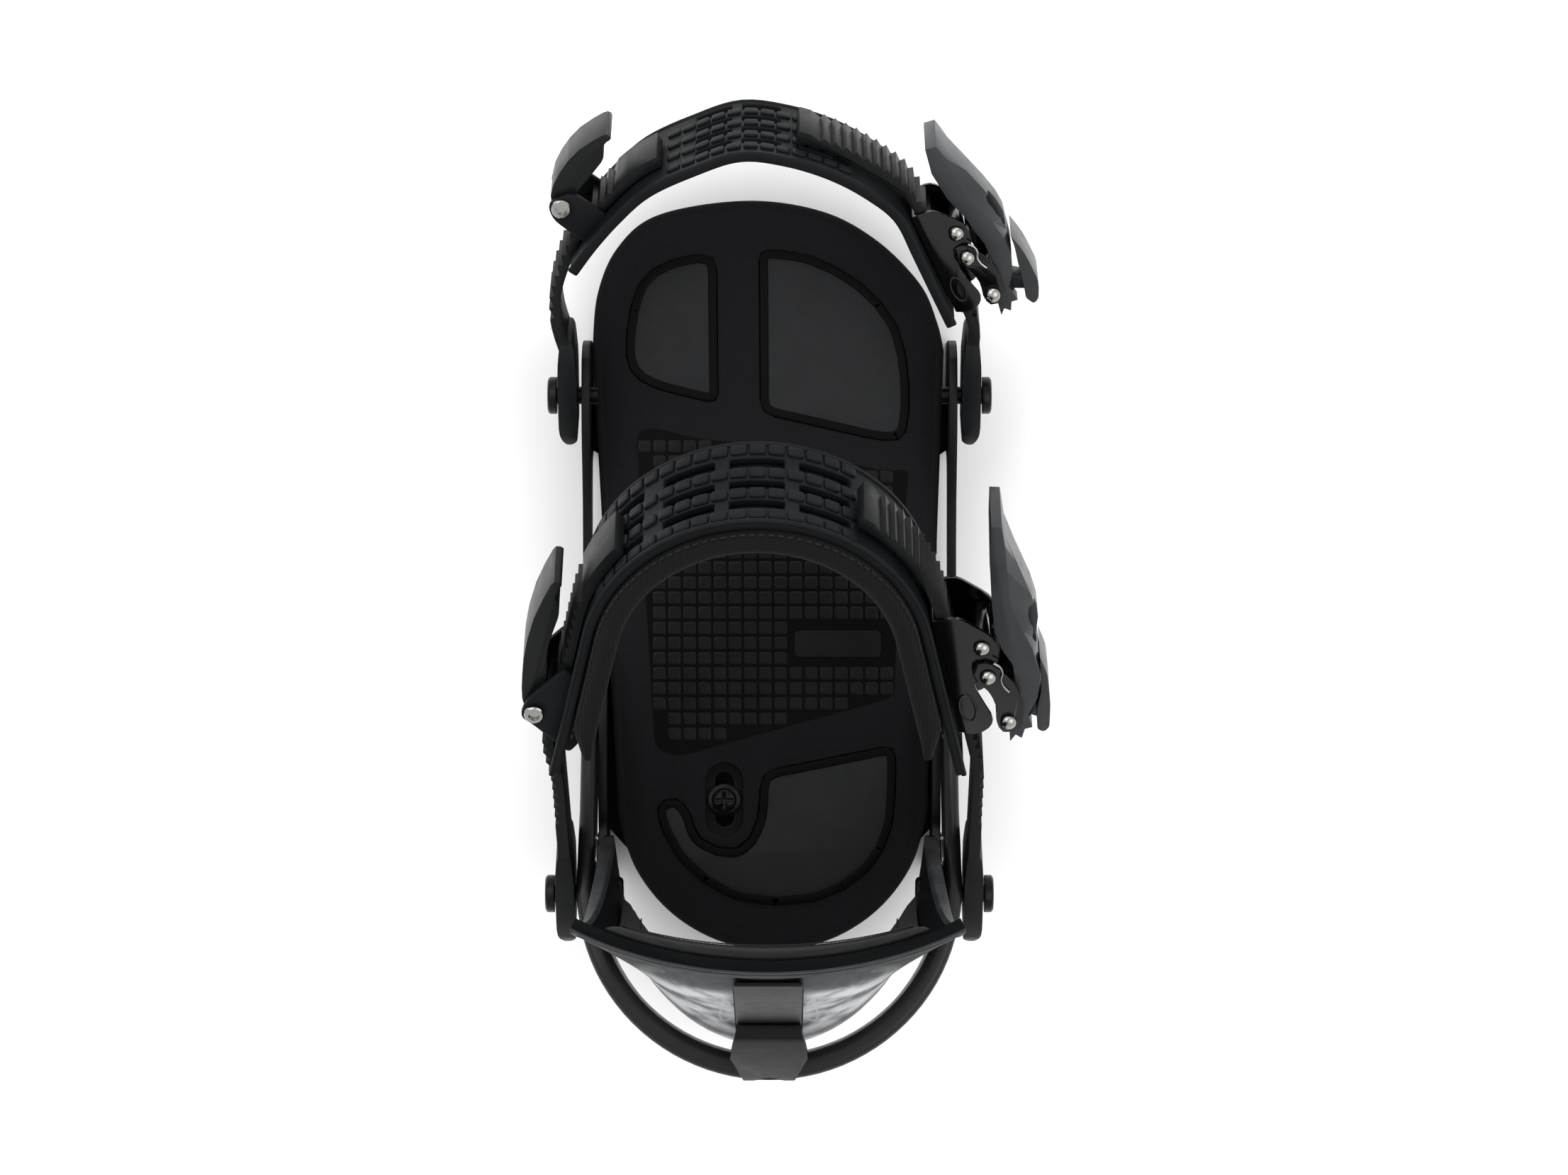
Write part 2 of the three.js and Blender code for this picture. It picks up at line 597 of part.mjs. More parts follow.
// ---------------------------------------------------------------- bands

/** Points at even steps along a smooth line through [u, v] points, with the line's normals. */
function walk(points, step) {
  const curve = new THREE.SplineCurve(points.map(([u, v]) => new THREE.Vector2(u, v)));
  const count = Math.round(curve.getLength() / step);
  return Array.from({ length: count + 1 }, (_, i) => {
    const place = curve.getPointAt(i / count);
    const along = curve.getTangentAt(i / count);
    return { place, along, normal: new THREE.Vector2(-along.y, along.x) };
  });
}

/** A walk's points moved along the normals. */
function beside(steps, distance) {
  return steps.map(({ place, normal }) => place.clone().addScaledVector(normal, distance));
}

/** A band between two distances from a walk, as a shape. */
function bandShape(steps, low, high) {
  return new THREE.Shape([...beside(steps, low), ...beside(steps, high).reverse()]);
}

/** A ladder's shape: smooth on one side, saw teeth on the other between two steps of the walk. */
function ladderShape(steps, side, from, to) {
  const half = ladder.thick / 2;
  const smooth = beside(steps, -side * half);
  const toothed = [];
  steps.forEach(({ place, along, normal }, i) => {
    const tip = place.clone().addScaledVector(normal, side * half);
    if (i < from || i >= to) {
      toothed.push(tip);
      return;
    }
    const foot = place.clone().addScaledVector(normal, side * (half - ladder.tooth));
    toothed.push(foot, tip.addScaledVector(along, ladder.pitch * 0.2));
  });
  return new THREE.Shape([...smooth, ...toothed.reverse()]);
}

/** The arch of the ankle strap at a radius, from the left end to the right end at a height. */
function archPoints(radius, end, from = 180 + ankle.flare, to = -ankle.flare) {
  const [cu, cv] = ankle.centre;
  const flare = rad(ankle.flare);
  const foot = (side) => {
    const u = cu + side * radius * Math.cos(flare);
    const v = cv + radius * Math.sin(flare);
    return (height) => [u + side * Math.tan(flare) * (v - height), height];
  };
  const arc = [];
  const low = Math.max(ankle.flare, Math.min(from, to));
  const high = Math.min(180 - ankle.flare, Math.max(from, to));
  for (let i = 0; i <= 12; i++) {
    const angle = rad(high + (low - high) * i / 12);
    arc.push([cu + radius * Math.cos(angle), cv + radius * Math.sin(angle)]);
  }
  const side = (sign) => [1, 2, 3].map((i) => foot(sign)(THREE.MathUtils.lerp(cv + radius * Math.sin(flare), end,
    i / 3)));
  const left = from > 180 - ankle.flare ? side(-1).reverse() : [];
  const right = to < ankle.flare ? side(1) : [];
  return [...left, ...arc, ...right];
}

/** A place beside one foot of an arch: so far out from its face, and so far up along it. */
function besideFoot(side, radius, { out, up }) {
  const [cu, cv] = ankle.centre;
  const flare = rad(ankle.flare);
  return [cu + side * ((radius + out) * Math.cos(flare) - up * Math.sin(flare)),
    cv + (radius + out) * Math.sin(flare) + up * Math.cos(flare)];
}

/** A shape between two arches. */
function archShape(inner, outer, end) {
  const points = [...archPoints(outer, end), ...archPoints(inner, end).reverse()];
  return new THREE.Shape(points.map(([u, v]) => new THREE.Vector2(u, v)));
}

/** The base of a strap's frame, placed and tilted at its pivot. */
function strapFrame(pivot) {
  const group = new THREE.Group();
  group.position.set(0, pivot.y, pivot.z);
  group.rotation.x = rad(pivot.tilt);
  root.add(group);
  return group;
}

/** Slots through a band: columns of boxes along the arch, rows across its width. */
function lattice(body, columns, rows) {
  let cut = body;
  for (const { place, along, length } of columns) {
    for (const [low, high] of rows) cut = cut.subtract(boxAlong(place, along, [length, 14], low, high));
  }
  return cut;
}

/** A ladder: the toothed strip and the paddle that turns on the pivot bolt. */
function ladderBody(steps, side, from, to, hand) {
  const half = ladder.width / 2;
  const strip = prism(ladderShape(steps, side, from, to), -half, half);
  const inner = paddle.inner;
  const outer = paddle.inner + paddle.thick;
  const shape = outline([[hand * inner, -paddle.tail, 2], [hand * (inner + 2), -paddle.tail - 2, 1],
    [hand * (outer - 2), -paddle.tail - 2, 2], [hand * outer, -paddle.tail + 3, 3], [hand * outer, paddle.reach, 4],
    [hand * (outer - 1), paddle.reach + 8, 3], [hand * (inner + 1), paddle.reach + 8, 3],
    [hand * inner, paddle.reach - 4, 3]]);
  const sideView = outline([[-paddle.tail - 3, -paddle.half + 5, 5], [-4, -paddle.half, 8],
    [paddle.reach + 2, -paddle.half, 4], [paddle.reach + 9, -half + 1, 3], [paddle.reach + 9, half - 1, 3],
    [paddle.reach + 2, paddle.half, 4], [-4, paddle.half, 8], [-paddle.tail - 3, paddle.half - 5, 5]]);
  const ends = [hand * inner, hand * outer].sort((a, b) => a - b);
  const body = prism(shape, -paddle.half, paddle.half).intersect(prismX(sideView, ends[0] - 1, ends[1] + 1));
  return strip.add(body).subtract(prismX(disk(0, 0, pivotBolt.shank + CLEAR), ends[0] - 2, ends[1] + 2, 8));
}

/** The room that a ladder needs where it runs through its strap. */
function channel(steps) {
  const half = ladder.thick / 2 + CLEAR;
  const wide = ladder.width / 2 + CLEAR;
  return prism(bandShape(steps, -half, half), -wide, wide);
}

/** The bolt that a ladder's paddle turns on: head outside, shank in the wall behind. */
function strapBolt(name, pivot, seat, tip) {
  const head = seat + paddle.thick + 2 * CLEAR;
  const { shank, head: headRadius, headThick } = pivotBolt;
  const body = turnedX([[tip, 0], [tip, shank], [head, shank], [head, headRadius], [head + headThick - 1, headRadius],
    [head + headThick, headRadius - 1.2], [head + headThick, 2.2], [head + headThick - 1.6, 2.2],
    [head + headThick - 1.6, 0]], pivot.y, pivot.z);
  add(`${name}_bolt_right`, body, look.steel);
  add(`${name}_bolt_left`, mirrored(body), look.steel);
}

// ---------------------------------------------------------------- ratchet buckle

// A buckle is drawn in a frame of its own: the origin on its middle rivet, x away from the ladder and y up
// along it. Sizes are those of the large buckle; `scale` makes the small one.

const large = {
  scale: 1,
  rivet: { top: [0, 10.1], lever: [2.9, -18.1], shank: 1.6, head: 2.5, dome: 1.9 },
  base: { x: -13.1, thick: 1.1, low: -20, high: 23 },
  gap: ladder.width / 2 + CLEAR,
  plate: 1.2,
  lever: {
    inner: [[5, -22], [1.4, -21.6], [-0.9, -18.1], [0.2, -15.6], [4.6, -12], [7.4, -6], [7.9, 1.4], [5.8, 7.6],
      [4.8, 14.7], [6, 25.7], [9.3, 44.8], [11.2, 53.6]],
    ridge: [[14.3, 52.8], [13.9, 45.8], [12.8, 36.2], [11.6, 25.7], [12, 19], [13.4, 13], [15, 6], [15.5, -5],
      [13, -12.9], [8.8, -19]],
    outer: [[14.3, 52.8], [14.2, 45.8], [15.6, 36.2], [17.9, 22.8], [18.4, 16], [18, 11], [16.4, 5.6], [15.7, -5],
      [13, -12.9], [8.8, -19]],
    pocket: [[1, -9], [11.6, -9], [12.8, 2], [11.6, 8], [13.4, 14], [13, 21], [10.4, 27], [1, 27]],
    eye: [[5, 1.5, 3], [20, 1.5, 4], [20, 8, 3], [5, 7.2, 2]],
    claws: [[2.9, -21], [1.6, -28.4], [3.8, -26.2], [5.4, -27.9], [7, -24.6], [9.4, -24.4], [8.4, -19], [5, -17]],
  },
  tab: [[16.4, 1, 0.6], [17.5, -6.8, 2], [16.3, -18, 2], [14.4, -26.6, 1], [12.4, -28, 0.8], [10.6, -26.6, 0.8],
    [11.8, -19, 2], [14.4, -12.6, 2], [16, -5, 1]],
};

const scaled = (points, scale) => points.map((point) => point.map((value) => value * scale));

/** The stamped steel frame: a base plate and two flanges, with holes for its rivets. */
function buckleFrame(size) {
  const { base, rivet, scale, gap, plate: thick } = size;
  const flange = outline(scaled([[base.x, base.low], [base.x, base.high], [-4.9, 22.6, 2], [4.2, 13.2, 4],
    [4.9, 9.1, 3], [3.7, 3.5, 2], [-4.4, -1.6, 1], [-4.9, -5.3, 2], [-1.4, -17.6, 2], [-3.4, -20.8, 2],
    [-8.3, -22.5, 3]], scale));
  const outside = gap + thick;
  const walls = prism(flange, -outside, outside);
  const floorX = base.x * scale + base.thick;
  const inside = block3([floorX, -60, -gap], [60, 60, gap]);
  let body = walls.subtract(inside);
  for (const [x, y] of [[0, 0], rivet.top]) {
    body = body.subtract(prism(disk(x * scale, y * scale, rivet.shank + CLEAR), -30, 30, 5));
  }
  return body;
}

/** The C-shaped cheeks that carry the lever's rivet, one on each side, joined by a bar behind the frame. */
function buckleCheek(size, side) {
  const { rivet, scale, gap, plate: thick } = size;
  const [rx, ry] = rivet.lever;
  const shape = outline(scaled([[-4.4, -1, 3], [-4.6, 4.4, 3], [0, 6, 4], [4, 2, 2], [7.6, -4, 5], [8.6, -12, 5],
    [rx + 3.8, ry - 4, 3], [rx - 3, ry - 4.4, 3], [rx - 3.6, ry + 1, 1], [0.6, -11.5, 5], [-1, -5, 2]], scale));
  const low = gap + thick + CLEAR;
  let body = prism(shape, low, low + thick);
  for (const [x, y] of [[0, 0], rivet.lever]) {
    body = body.subtract(prism(disk(x * scale, y * scale, rivet.shank + CLEAR), 0, 30, 5));
  }
  return side > 0 ? body : body.mirror([0, 0, 1]);
}

/** A rivet along w with a domed head on each side, standing on plates at the given half width. */
function rivetBody(size, [x, y], seat) {
  const { rivet, scale } = size;
  const { shank, head, dome } = rivet;
  const ends = [];
  for (const angle of [0, 50]) {
    ends.push([seat + dome * Math.cos(rad(angle)), head * Math.sin(rad(angle))]);
  }
  ends.push([seat, head], [seat, shank]);
  const stations = [...ends.map(([w, r]) => [-w, r]), ...ends.toReversed()];
  return turnedZ(stations, x * scale, y * scale, 10);
}

/** The pump lever, its pocket and eye, and the claws at its root. */
function buckleLever(size) {
  const { lever, rivet, scale, gap } = size;
  const wide = gap + 0.6;
  const edge = [...lever.inner, ...lever.ridge];
  const middle = [...lever.inner, ...lever.outer];
  let body = loft([
    { height: -wide, points: edge.toReversed() }, { height: -wide * 0.55, points: middle.toReversed() },
    { height: wide * 0.55, points: middle.toReversed() }, { height: wide, points: edge.toReversed() },
  ]);
  const pocketWide = wide - 2.6;
  body = body.subtract(prism(outline(lever.pocket), -pocketWide, pocketWide));
  body = body.subtract(prismX(outline(lever.eye), 0, 40));
  const root = block3([-20, -60, -3.6], [40, -9 * scale, 3.6]);
  const claws = prism(outline(lever.claws), -gap + SLIDE, gap - SLIDE);
  body = body.add(claws).subtract(root);
  const [x, y] = rivet.lever;
  return body.subtract(prism(disk(x * scale, y * scale, rivet.shank + CLEAR), -30, 30, 5));
}

/** The release tab outside the lever, with the web that runs in to its hub on the lever's rivet. */
function buckleTab(size) {
  const { rivet, scale, gap, tab } = size;
  const [x, y] = rivet.lever.map((value) => value * scale);
  const leaf = prism(outline(tab), -gap + 2, gap - 2);
  const foot = tab[5];
  const web = outline([[x - 1, y + 3], [x + 3, y + 3], [foot[0] + 2, foot[1] + 6 * scale],
    [foot[0] + 1.4, foot[1] + 1], [foot[0] + 0.6, foot[1] + 1], [x + 2, y - 3.4], [x - 1, y - 3.2]]);
  const hub = prism(disk(x, y, 3.3), -3.1, 3.1, 6);
  const hole = prism(disk(x, y, rivet.shank + CLEAR), -30, 30, 5);
  return leaf.add(prism(web, -3.1, 3.1)).add(hub).subtract(hole);
}

/** The sprung pawl that holds the ladder, between the frame's flanges. */
function holdingPawl(size) {
  const { rivet, scale, gap, base } = size;
  const [x, y] = rivet.top.map((value) => value * scale);
  const teeth = base.x * scale + base.thick + CLEAR + ladder.thick + SLIDE;
  const shape = outline([[x + 2.6, y + 2, 1.5], [x + 2.6, y - 2.4, 1.5], [x - 2, y - 4, 1], [teeth, y - 7],
    [teeth + 0.6, y - 3], [x - 3, y + 1, 1.5], [x - 1, y + 2.8, 1.5]]);
  const wide = gap - SLIDE;
  return prism(shape, -wide, wide).subtract(prism(disk(x, y, rivet.shank + CLEAR), -30, 30, 5));
}

/** A whole ratchet buckle on a strap, with its middle rivet at a place in the strap's frame. */
function buckle(strap, name, size, place, turn) {
  const group = new THREE.Group();
  group.position.set(place[0], place[1], 0);
  group.rotation.z = rad(turn);
  strap.add(group);
  const frameOut = size.gap + size.plate;
  const cheekOut = frameOut + CLEAR + size.plate;
  add(`${name}_buckle_frame`, buckleFrame(size), look.steel, group);
  add(`${name}_buckle_cheek_upper`, buckleCheek(size, 1), look.steel, group);
  add(`${name}_buckle_cheek_lower`, buckleCheek(size, -1), look.steel, group);
  add(`${name}_pawl_rivet`, rivetBody(size, size.rivet.top, frameOut + CLEAR), look.nickel, group);
  add(`${name}_cheek_rivet`, rivetBody(size, [0, 0], cheekOut + CLEAR), look.nickel, group);
  add(`${name}_lever_rivet`, rivetBody(size, size.rivet.lever, cheekOut + CLEAR), look.nickel, group);
  add(`${name}_buckle_lever`, buckleLever(size), look.cast, group);
  add(`${name}_release_tab`, buckleTab(size), look.cast, group);
  add(`${name}_holding_pawl`, holdingPawl(size), look.steel, group);
}

/** A lever hinged on a pin between two ears of the strap, lying on the outside of the left ladder. */
function adjuster(strap, name, pin, corners) {
  const [u, v] = pin;
  const wide = ladder.width / 2 - 0.4;
  const body = prism(outline(corners), -wide, wide).subtract(prism(disk(u, v, ear.hole), -30, 30, 5));
  add(`${name}_adjuster_lever`, body, look.strap, strap);
  const out = ladder.width / 2 + CLEAR + ear.thick + CLEAR;
  const pinBody = turnedZ([[-out - 1.2, 0], [-out - 1.2, ear.pinHead], [-out, ear.pinHead], [-out, ear.pin],
    [out, ear.pin], [out, ear.collar], [out + 1.2, ear.collar], [out + 1.4, 1.7], [out + 0.6, 1.5],
    [out + 0.6, 0]], u, v, 12);
  add(`${name}_adjuster_pin`, pinBody, look.nickel, strap);
}

/** The two ears on a strap that carry the adjuster's pin. */
function ears(corners, [u, v]) {
  const low = ladder.width / 2 + CLEAR;
  const shape = outline(corners);
  const one = prism(shape, low, low + ear.thick).subtract(prism(disk(u, v, ear.hole), -30, 30, 5));
  return one.add(one.mirror([0, 0, 1]));
}

// ---------------------------------------------------------------- ankle strap

function ankleStrap() {
  const strap = strapFrame(heelPivot);
  const { inner, pad, strap: thick, end, low, high, centre } = ankle;
  const padOut = inner + pad;
  const bandIn = padOut + CLEAR;
  const bandOut = bandIn + thick;

  add("ankle_pad", prism(archShape(inner, padOut, end + 8), low - 7, high + 3), look.foam, strap);

  const { window } = ankle;
  const pin = besideFoot(-1, bandOut, ankle.pin);
  const middle = (bandIn + bandOut) / 2;
  const columns = window.turns.map((turn) => {
    const angle = rad(90 - turn);
    const place = new THREE.Vector2(centre[0] + middle * Math.cos(angle), centre[1] + middle * Math.sin(angle));
    return { place, along: new THREE.Vector2(Math.sin(angle), -Math.cos(angle)), length: window.length };
  });
  const band = lattice(prism(archShape(bandIn, bandOut, end), low, high), columns, window.rows);
  const wings = prism(archShape(bandIn, bandOut + 30, end), low, high).intersect(
    ears([[pin[0] + 14.3, pin[1] + 18, 3], [pin[0] + 9.3, pin[1] + 16, 2], [pin[0] - 2.4, pin[1] + 4.4, 4],
      [pin[0] - 4.6, pin[1] - 2, 3], [pin[0] - 1, pin[1] - 4.6, 3], [pin[0] + 10.3, pin[1] - 16, 2]], pin));

  const leftIn = bandOut + CLEAR;
  const leftWalk = walk([...archPoints(leftIn + ladder.thick / 2, 68, 180 + ankle.flare, 138).reverse(),
    [-paddle.inner - 4.6, 54], [-paddle.inner - 3.8, 40], [-paddle.inner - 2.8, paddle.reach + 2]], ladder.pitch);
  add("ankle_strap", band.add(wings).subtract(channel(leftWalk)), look.strap, strap);
  const leftCount = leftWalk.length;
  add("ankle_ladder_left", ladderBody(leftWalk, -1, 6, leftCount - 5, -1), look.strap, strap);

  const rightIn = bandOut + CLEAR + large.base.thick + CLEAR;
  const rightWalk = walk([...archPoints(rightIn + ladder.thick / 2, 73, 57, -ankle.flare),
    [paddle.inner + 3.3, 58], [paddle.inner + 3.3, 42], [paddle.inner + 2.8, paddle.reach + 2]], ladder.pitch);
  add("ankle_ladder_right", ladderBody(rightWalk, 1, 2, rightWalk.length - 5, 1), look.strap, strap);

  buckle(strap, "ankle", large, besideFoot(1, bandOut, ankle.buckle), ankle.flare);
  adjuster(strap, "ankle", pin, [[pin[0] + 3.4, pin[1] - 2.6, 3], [pin[0] - 2, pin[1] - 3.9, 4],
    [pin[0] - 4, pin[1] + 3, 4], [pin[0] - 3.1, pin[1] + 18, 6], [pin[0] + 0.3, pin[1] + 34, 10],
    [pin[0] + 7.1, pin[1] + 48, 2], [pin[0] + 9.9, pin[1] + 46.6, 1], [pin[0] + 7.1, pin[1] + 42, 2],
    [pin[0] + 8.7, pin[1] + 35.6, 2], [pin[0] + 4.3, pin[1] + 22, 4], [pin[0] + 4, pin[1] + 4, 2]]);
}

// ---------------------------------------------------------------- toe strap

const small = {
  ...large,
  scale: 0.83,
  lever: {
    inner: [[4.6, -18.6], [1, -18.2], [-0.9, -15], [0.2, -12.6], [3.8, -9.6], [6.4, -5], [6.6, 1.2], [5.4, 6.2],
      [4.6, 12], [2, 20], [0.8, 30], [2.2, 38.4]],
    ridge: [[5.8, 38], [6.8, 33.4], [7.2, 26], [8, 18.4], [9.8, 12.6], [11.8, 7], [12.8, 1], [12.8, -5],
      [11, -11], [7.6, -16]],
    outer: [[5.8, 38], [7.8, 33], [10.4, 25], [13, 16.6], [14.6, 10], [15, 5.4], [14.2, 1], [13.2, -5],
      [11, -11], [7.6, -16]],
    pocket: [[1, -7], [9.4, -7], [10.6, 1], [10.4, 5.6], [8.8, 12], [6.4, 18.6], [-2, 20], [-2, 6]],
    eye: [[2.6, 1.5, 3], [15, 1.5, 4], [15, 7.6, 3], [2.6, 7, 2]],
    claws: [[2.6, -17.6], [1.6, -24.2], [3.4, -22.4], [5, -24], [6.4, -21.2], [8.4, -21.4], [7.6, -16.4],
      [4.4, -14.4]],
  },
  tab: [[14.8, -0.4, 0.6], [16.6, -8, 3], [16.8, -19, 2], [14.4, -24.4, 1], [12.4, -25.4, 0.8],
    [10.8, -22.6, 0.8], [12.2, -17, 2], [13.2, -10.4, 2], [14.4, -5, 1]],
};

function toeStrap() {
  const strap = strapFrame(toePivot);
  const half = toe.strap / 2;
  const spine = [[-61.6, 52], [-55.4, 61], [-47.4, 70.6], [-38, 79.4], [-24, 86.4], [-9, 91.6], [6, 89.8],
    [20, 85], [31.4, 78.4], [40.4, 70.6], [46.2, 58.4], [52, 45.6], [57.4, 33.7]];
  const line = walk(spine, 6);
  let band = prism(bandShape(line, -half, half), toe.low, toe.high);
  const { pin, window } = toe;
  const columns = window.places.map((u) => {
    const near = line.reduce((best, step) => (Math.abs(step.place.x - u) < Math.abs(best.place.x - u) ? step : best));
    return { ...near, length: window.length };
  });
  band = lattice(band, columns, window.rows);
  band = band.add(ears([[-47, 72, 2], [-61.4, 76.4, 3], [pin[0] - 4.4, pin[1] + 1.4, 3],
    [pin[0] - 3, pin[1] - 4.2, 3], [-58, 59, 2], [-54, 62, 1]], pin));

  const over = half + CLEAR + ladder.thick / 2;
  const outside = (distance, from, to) => beside(line, distance).filter(({ x }) => x > from && x < to)
    .map(({ x, y }) => [x, y]);
  const leftWalk = walk([...outside(over, -62.5, -32).reverse(), [-paddle.inner - 5.8, 42],
    [-paddle.inner - 6, 30], [-paddle.inner - 2.8, paddle.reach + 2]], ladder.pitch);
  add("toe_strap", band.subtract(channel(leftWalk)), look.strap, strap);
  add("toe_ladder_left", ladderBody(leftWalk, -1, 5, leftWalk.length - 4, -1), look.strap, strap);
  const above = over + small.base.thick + CLEAR;
  const rightWalk = walk([...outside(above, 8, 59), [paddle.inner + 3.2, 30],
    [paddle.inner + 2.8, paddle.reach + 2]], ladder.pitch);
  add("toe_ladder_right", ladderBody(rightWalk, 1, 2, rightWalk.length - 4, 1), look.strap, strap);

  buckle(strap, "toe", small, toe.buckle, toe.buckleTurn);
  adjuster(strap, "toe", pin, [[pin[0] + 3.2, pin[1] - 2.4, 3], [pin[0] - 2, pin[1] - 3.8, 4],
    [pin[0] - 4, pin[1] + 2.4, 4], [-66, 82, 6], [-60, 90, 8], [-50.6, 95.6, 2], [-49, 93.6, 1],
    [-52.4, 91.4, 2], [-51.4, 87, 2], [-57.4, 79, 3], [pin[0] + 4.2, pin[1] + 3, 2]]);
}

chassis();
mountingDisc();
heelHoop();
hoopBolts();
footbed();
footbedPads();
clampScrew();
highback();
highbackPivots();
forwardLean();
strapBolt("ankle", heelPivot, paddle.inner, hoop.inner + hoop.arm / 2 + CLEAR);
strapBolt("toe", toePivot, paddle.inner, rail.inner);
ankleStrap();
toeStrap();

export default root;
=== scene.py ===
"""Dresses a right-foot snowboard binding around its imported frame.

Lengths in the classes are millimetres in the binding's own frame: +X to the rider's right, +Y towards the
toe, +Z up from the board. Meshes are made in metres.
"""

from __future__ import annotations

import logging
import math
from dataclasses import dataclass
from enum import Enum
from typing import Callable, Iterable, Sequence

import bmesh
import bpy
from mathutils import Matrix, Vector

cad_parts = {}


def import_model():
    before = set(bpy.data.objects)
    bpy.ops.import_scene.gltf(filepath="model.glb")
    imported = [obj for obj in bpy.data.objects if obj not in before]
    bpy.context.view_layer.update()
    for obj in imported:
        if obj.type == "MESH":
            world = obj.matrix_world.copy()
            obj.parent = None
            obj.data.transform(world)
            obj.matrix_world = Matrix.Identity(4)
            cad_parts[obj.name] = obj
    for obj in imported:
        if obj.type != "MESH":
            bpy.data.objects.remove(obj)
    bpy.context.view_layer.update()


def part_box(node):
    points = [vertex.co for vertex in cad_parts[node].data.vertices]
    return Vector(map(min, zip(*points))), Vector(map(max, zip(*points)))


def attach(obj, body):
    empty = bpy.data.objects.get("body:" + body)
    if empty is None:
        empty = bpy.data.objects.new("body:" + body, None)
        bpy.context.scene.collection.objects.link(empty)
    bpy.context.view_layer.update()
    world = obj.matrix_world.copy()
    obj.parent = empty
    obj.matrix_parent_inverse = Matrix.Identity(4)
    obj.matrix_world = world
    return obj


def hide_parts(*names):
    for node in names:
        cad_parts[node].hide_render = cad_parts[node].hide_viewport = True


LOG = logging.getLogger("binding")
Piece = bpy.types.Object
Socket = bpy.types.NodeSocket
Point = tuple[float, float]
Window = tuple[float, float, float, float]
Seat = tuple[Vector, Vector, Vector]
Colour = tuple[float, float, float, float]
Shade = tuple[int, int, int]

MM = 0.001
SIDES = (("right", 1), ("left", -1))
MERGE = 0.02 * MM  # corners of a node's loose triangles that lie this close are one corner
COPLANAR = math.radians(1.5)  # faces of a node that turn less than this become one face
CREASE = math.radians(38)  # an edge that turns more than this stays sharp in the shading
BEND = 32.0  # an edge that turns more than this many degrees is rounded
SPARSE = 400.0  # a step longer than any strap, which leaves only the wanted stations and the ends


# ---------------------------------------------------------------- meshes


def object_from(name: str, points: Iterable[Sequence[float]],
                faces: Iterable[Sequence[int]]) -> Piece:
    """Makes an object from points in metres and faces.

    Args:
        name: The piece's name.
        points: The vertices.
        faces: The faces, as indices of vertices.

    Returns:
        The new object, linked to the scene.
    """
    mesh = bpy.data.meshes.new(name)
    mesh.from_pydata([tuple(p) for p in points], [], [list(f) for f in faces])
    mesh.update()
    obj = bpy.data.objects.new(name, mesh)
    bpy.context.scene.collection.objects.link(obj)
    return obj


def loft(name: str, rings: Sequence[Sequence[Vector]], closed: bool = False) -> Piece:
    """Makes a closed skin through rings of points.

    Args:
        name: The piece's name.
        rings: The rings, in metres, all with as many points.
        closed: True where the last ring joins the first; otherwise both ends are capped.

    Returns:
        The skin with its faces outwards.
    """
    count = len(rings[0])
    faces: list[list[int]] = []
    last = len(rings) if closed else len(rings) - 1
    for r in range(last):
        a, b = r * count, (r + 1) % len(rings) * count
        faces += [[a + i, a + (i + 1) % count, b + (i + 1) % count, b + i] for i in range(count)]
    if not closed:
        faces.append(list(range(count - 1, -1, -1)))
        faces.append([(len(rings) - 1) * count + i for i in range(count)])
    obj = object_from(name, [p for ring in rings for p in ring], faces)
    face_out(obj)
    return obj


def face_out(obj: Piece) -> None:
    """Points every face of a piece outwards.

    Args:
        obj: The piece.
    """
    work = bmesh.new()
    work.from_mesh(obj.data)
    bmesh.ops.recalc_face_normals(work, faces=work.faces)
    work.to_mesh(obj.data)
    work.free()


def bake(obj: Piece) -> Piece:
    """Turns a piece's modifiers into its mesh.

    Args:
        obj: The piece.

    Returns:
        The same object, with no modifier left.
    """
    graph = bpy.context.evaluated_depsgraph_get()
    final = obj.evaluated_get(graph)
    mesh = bpy.data.meshes.new_from_object(final, preserve_all_data_layers=True, depsgraph=graph)
    obj.modifiers.clear()
    obj.data = mesh
    return obj


def soften(obj: Piece, bevel: float = 0.0, segments: int = 2, smooth: int = 0,
           limit: float = BEND) -> Piece:
    """Rounds the sharp edges of a piece and shades it smooth.

    Args:
        obj: The piece.
        bevel: The edges' radius in millimetres, or 0 for none.
        segments: Steps across each rounded edge.
        smooth: Levels of subdivision after the bevel.
        limit: Edges sharper than this many degrees are rounded.

    Returns:
        The same object.
    """
    if bevel > 0:
        edge = obj.modifiers.new("edge", "BEVEL")
        edge.width = bevel * MM
        edge.segments = segments
        edge.limit_method = "ANGLE"
        edge.angle_limit = math.radians(limit)
        edge.use_clamp_overlap = True
    if smooth > 0:
        surface = obj.modifiers.new("surface", "SUBSURF")
        surface.levels = surface.render_levels = smooth
    if bevel > 0 and smooth == 0:
        weights = obj.modifiers.new("weights", "WEIGHTED_NORMAL")
        weights.keep_sharp = True
    bake(obj)
    obj.data.polygons.foreach_set("use_smooth", [True] * len(obj.data.polygons))
    obj.data.set_sharp_from_angle(angle=CREASE)
    return obj


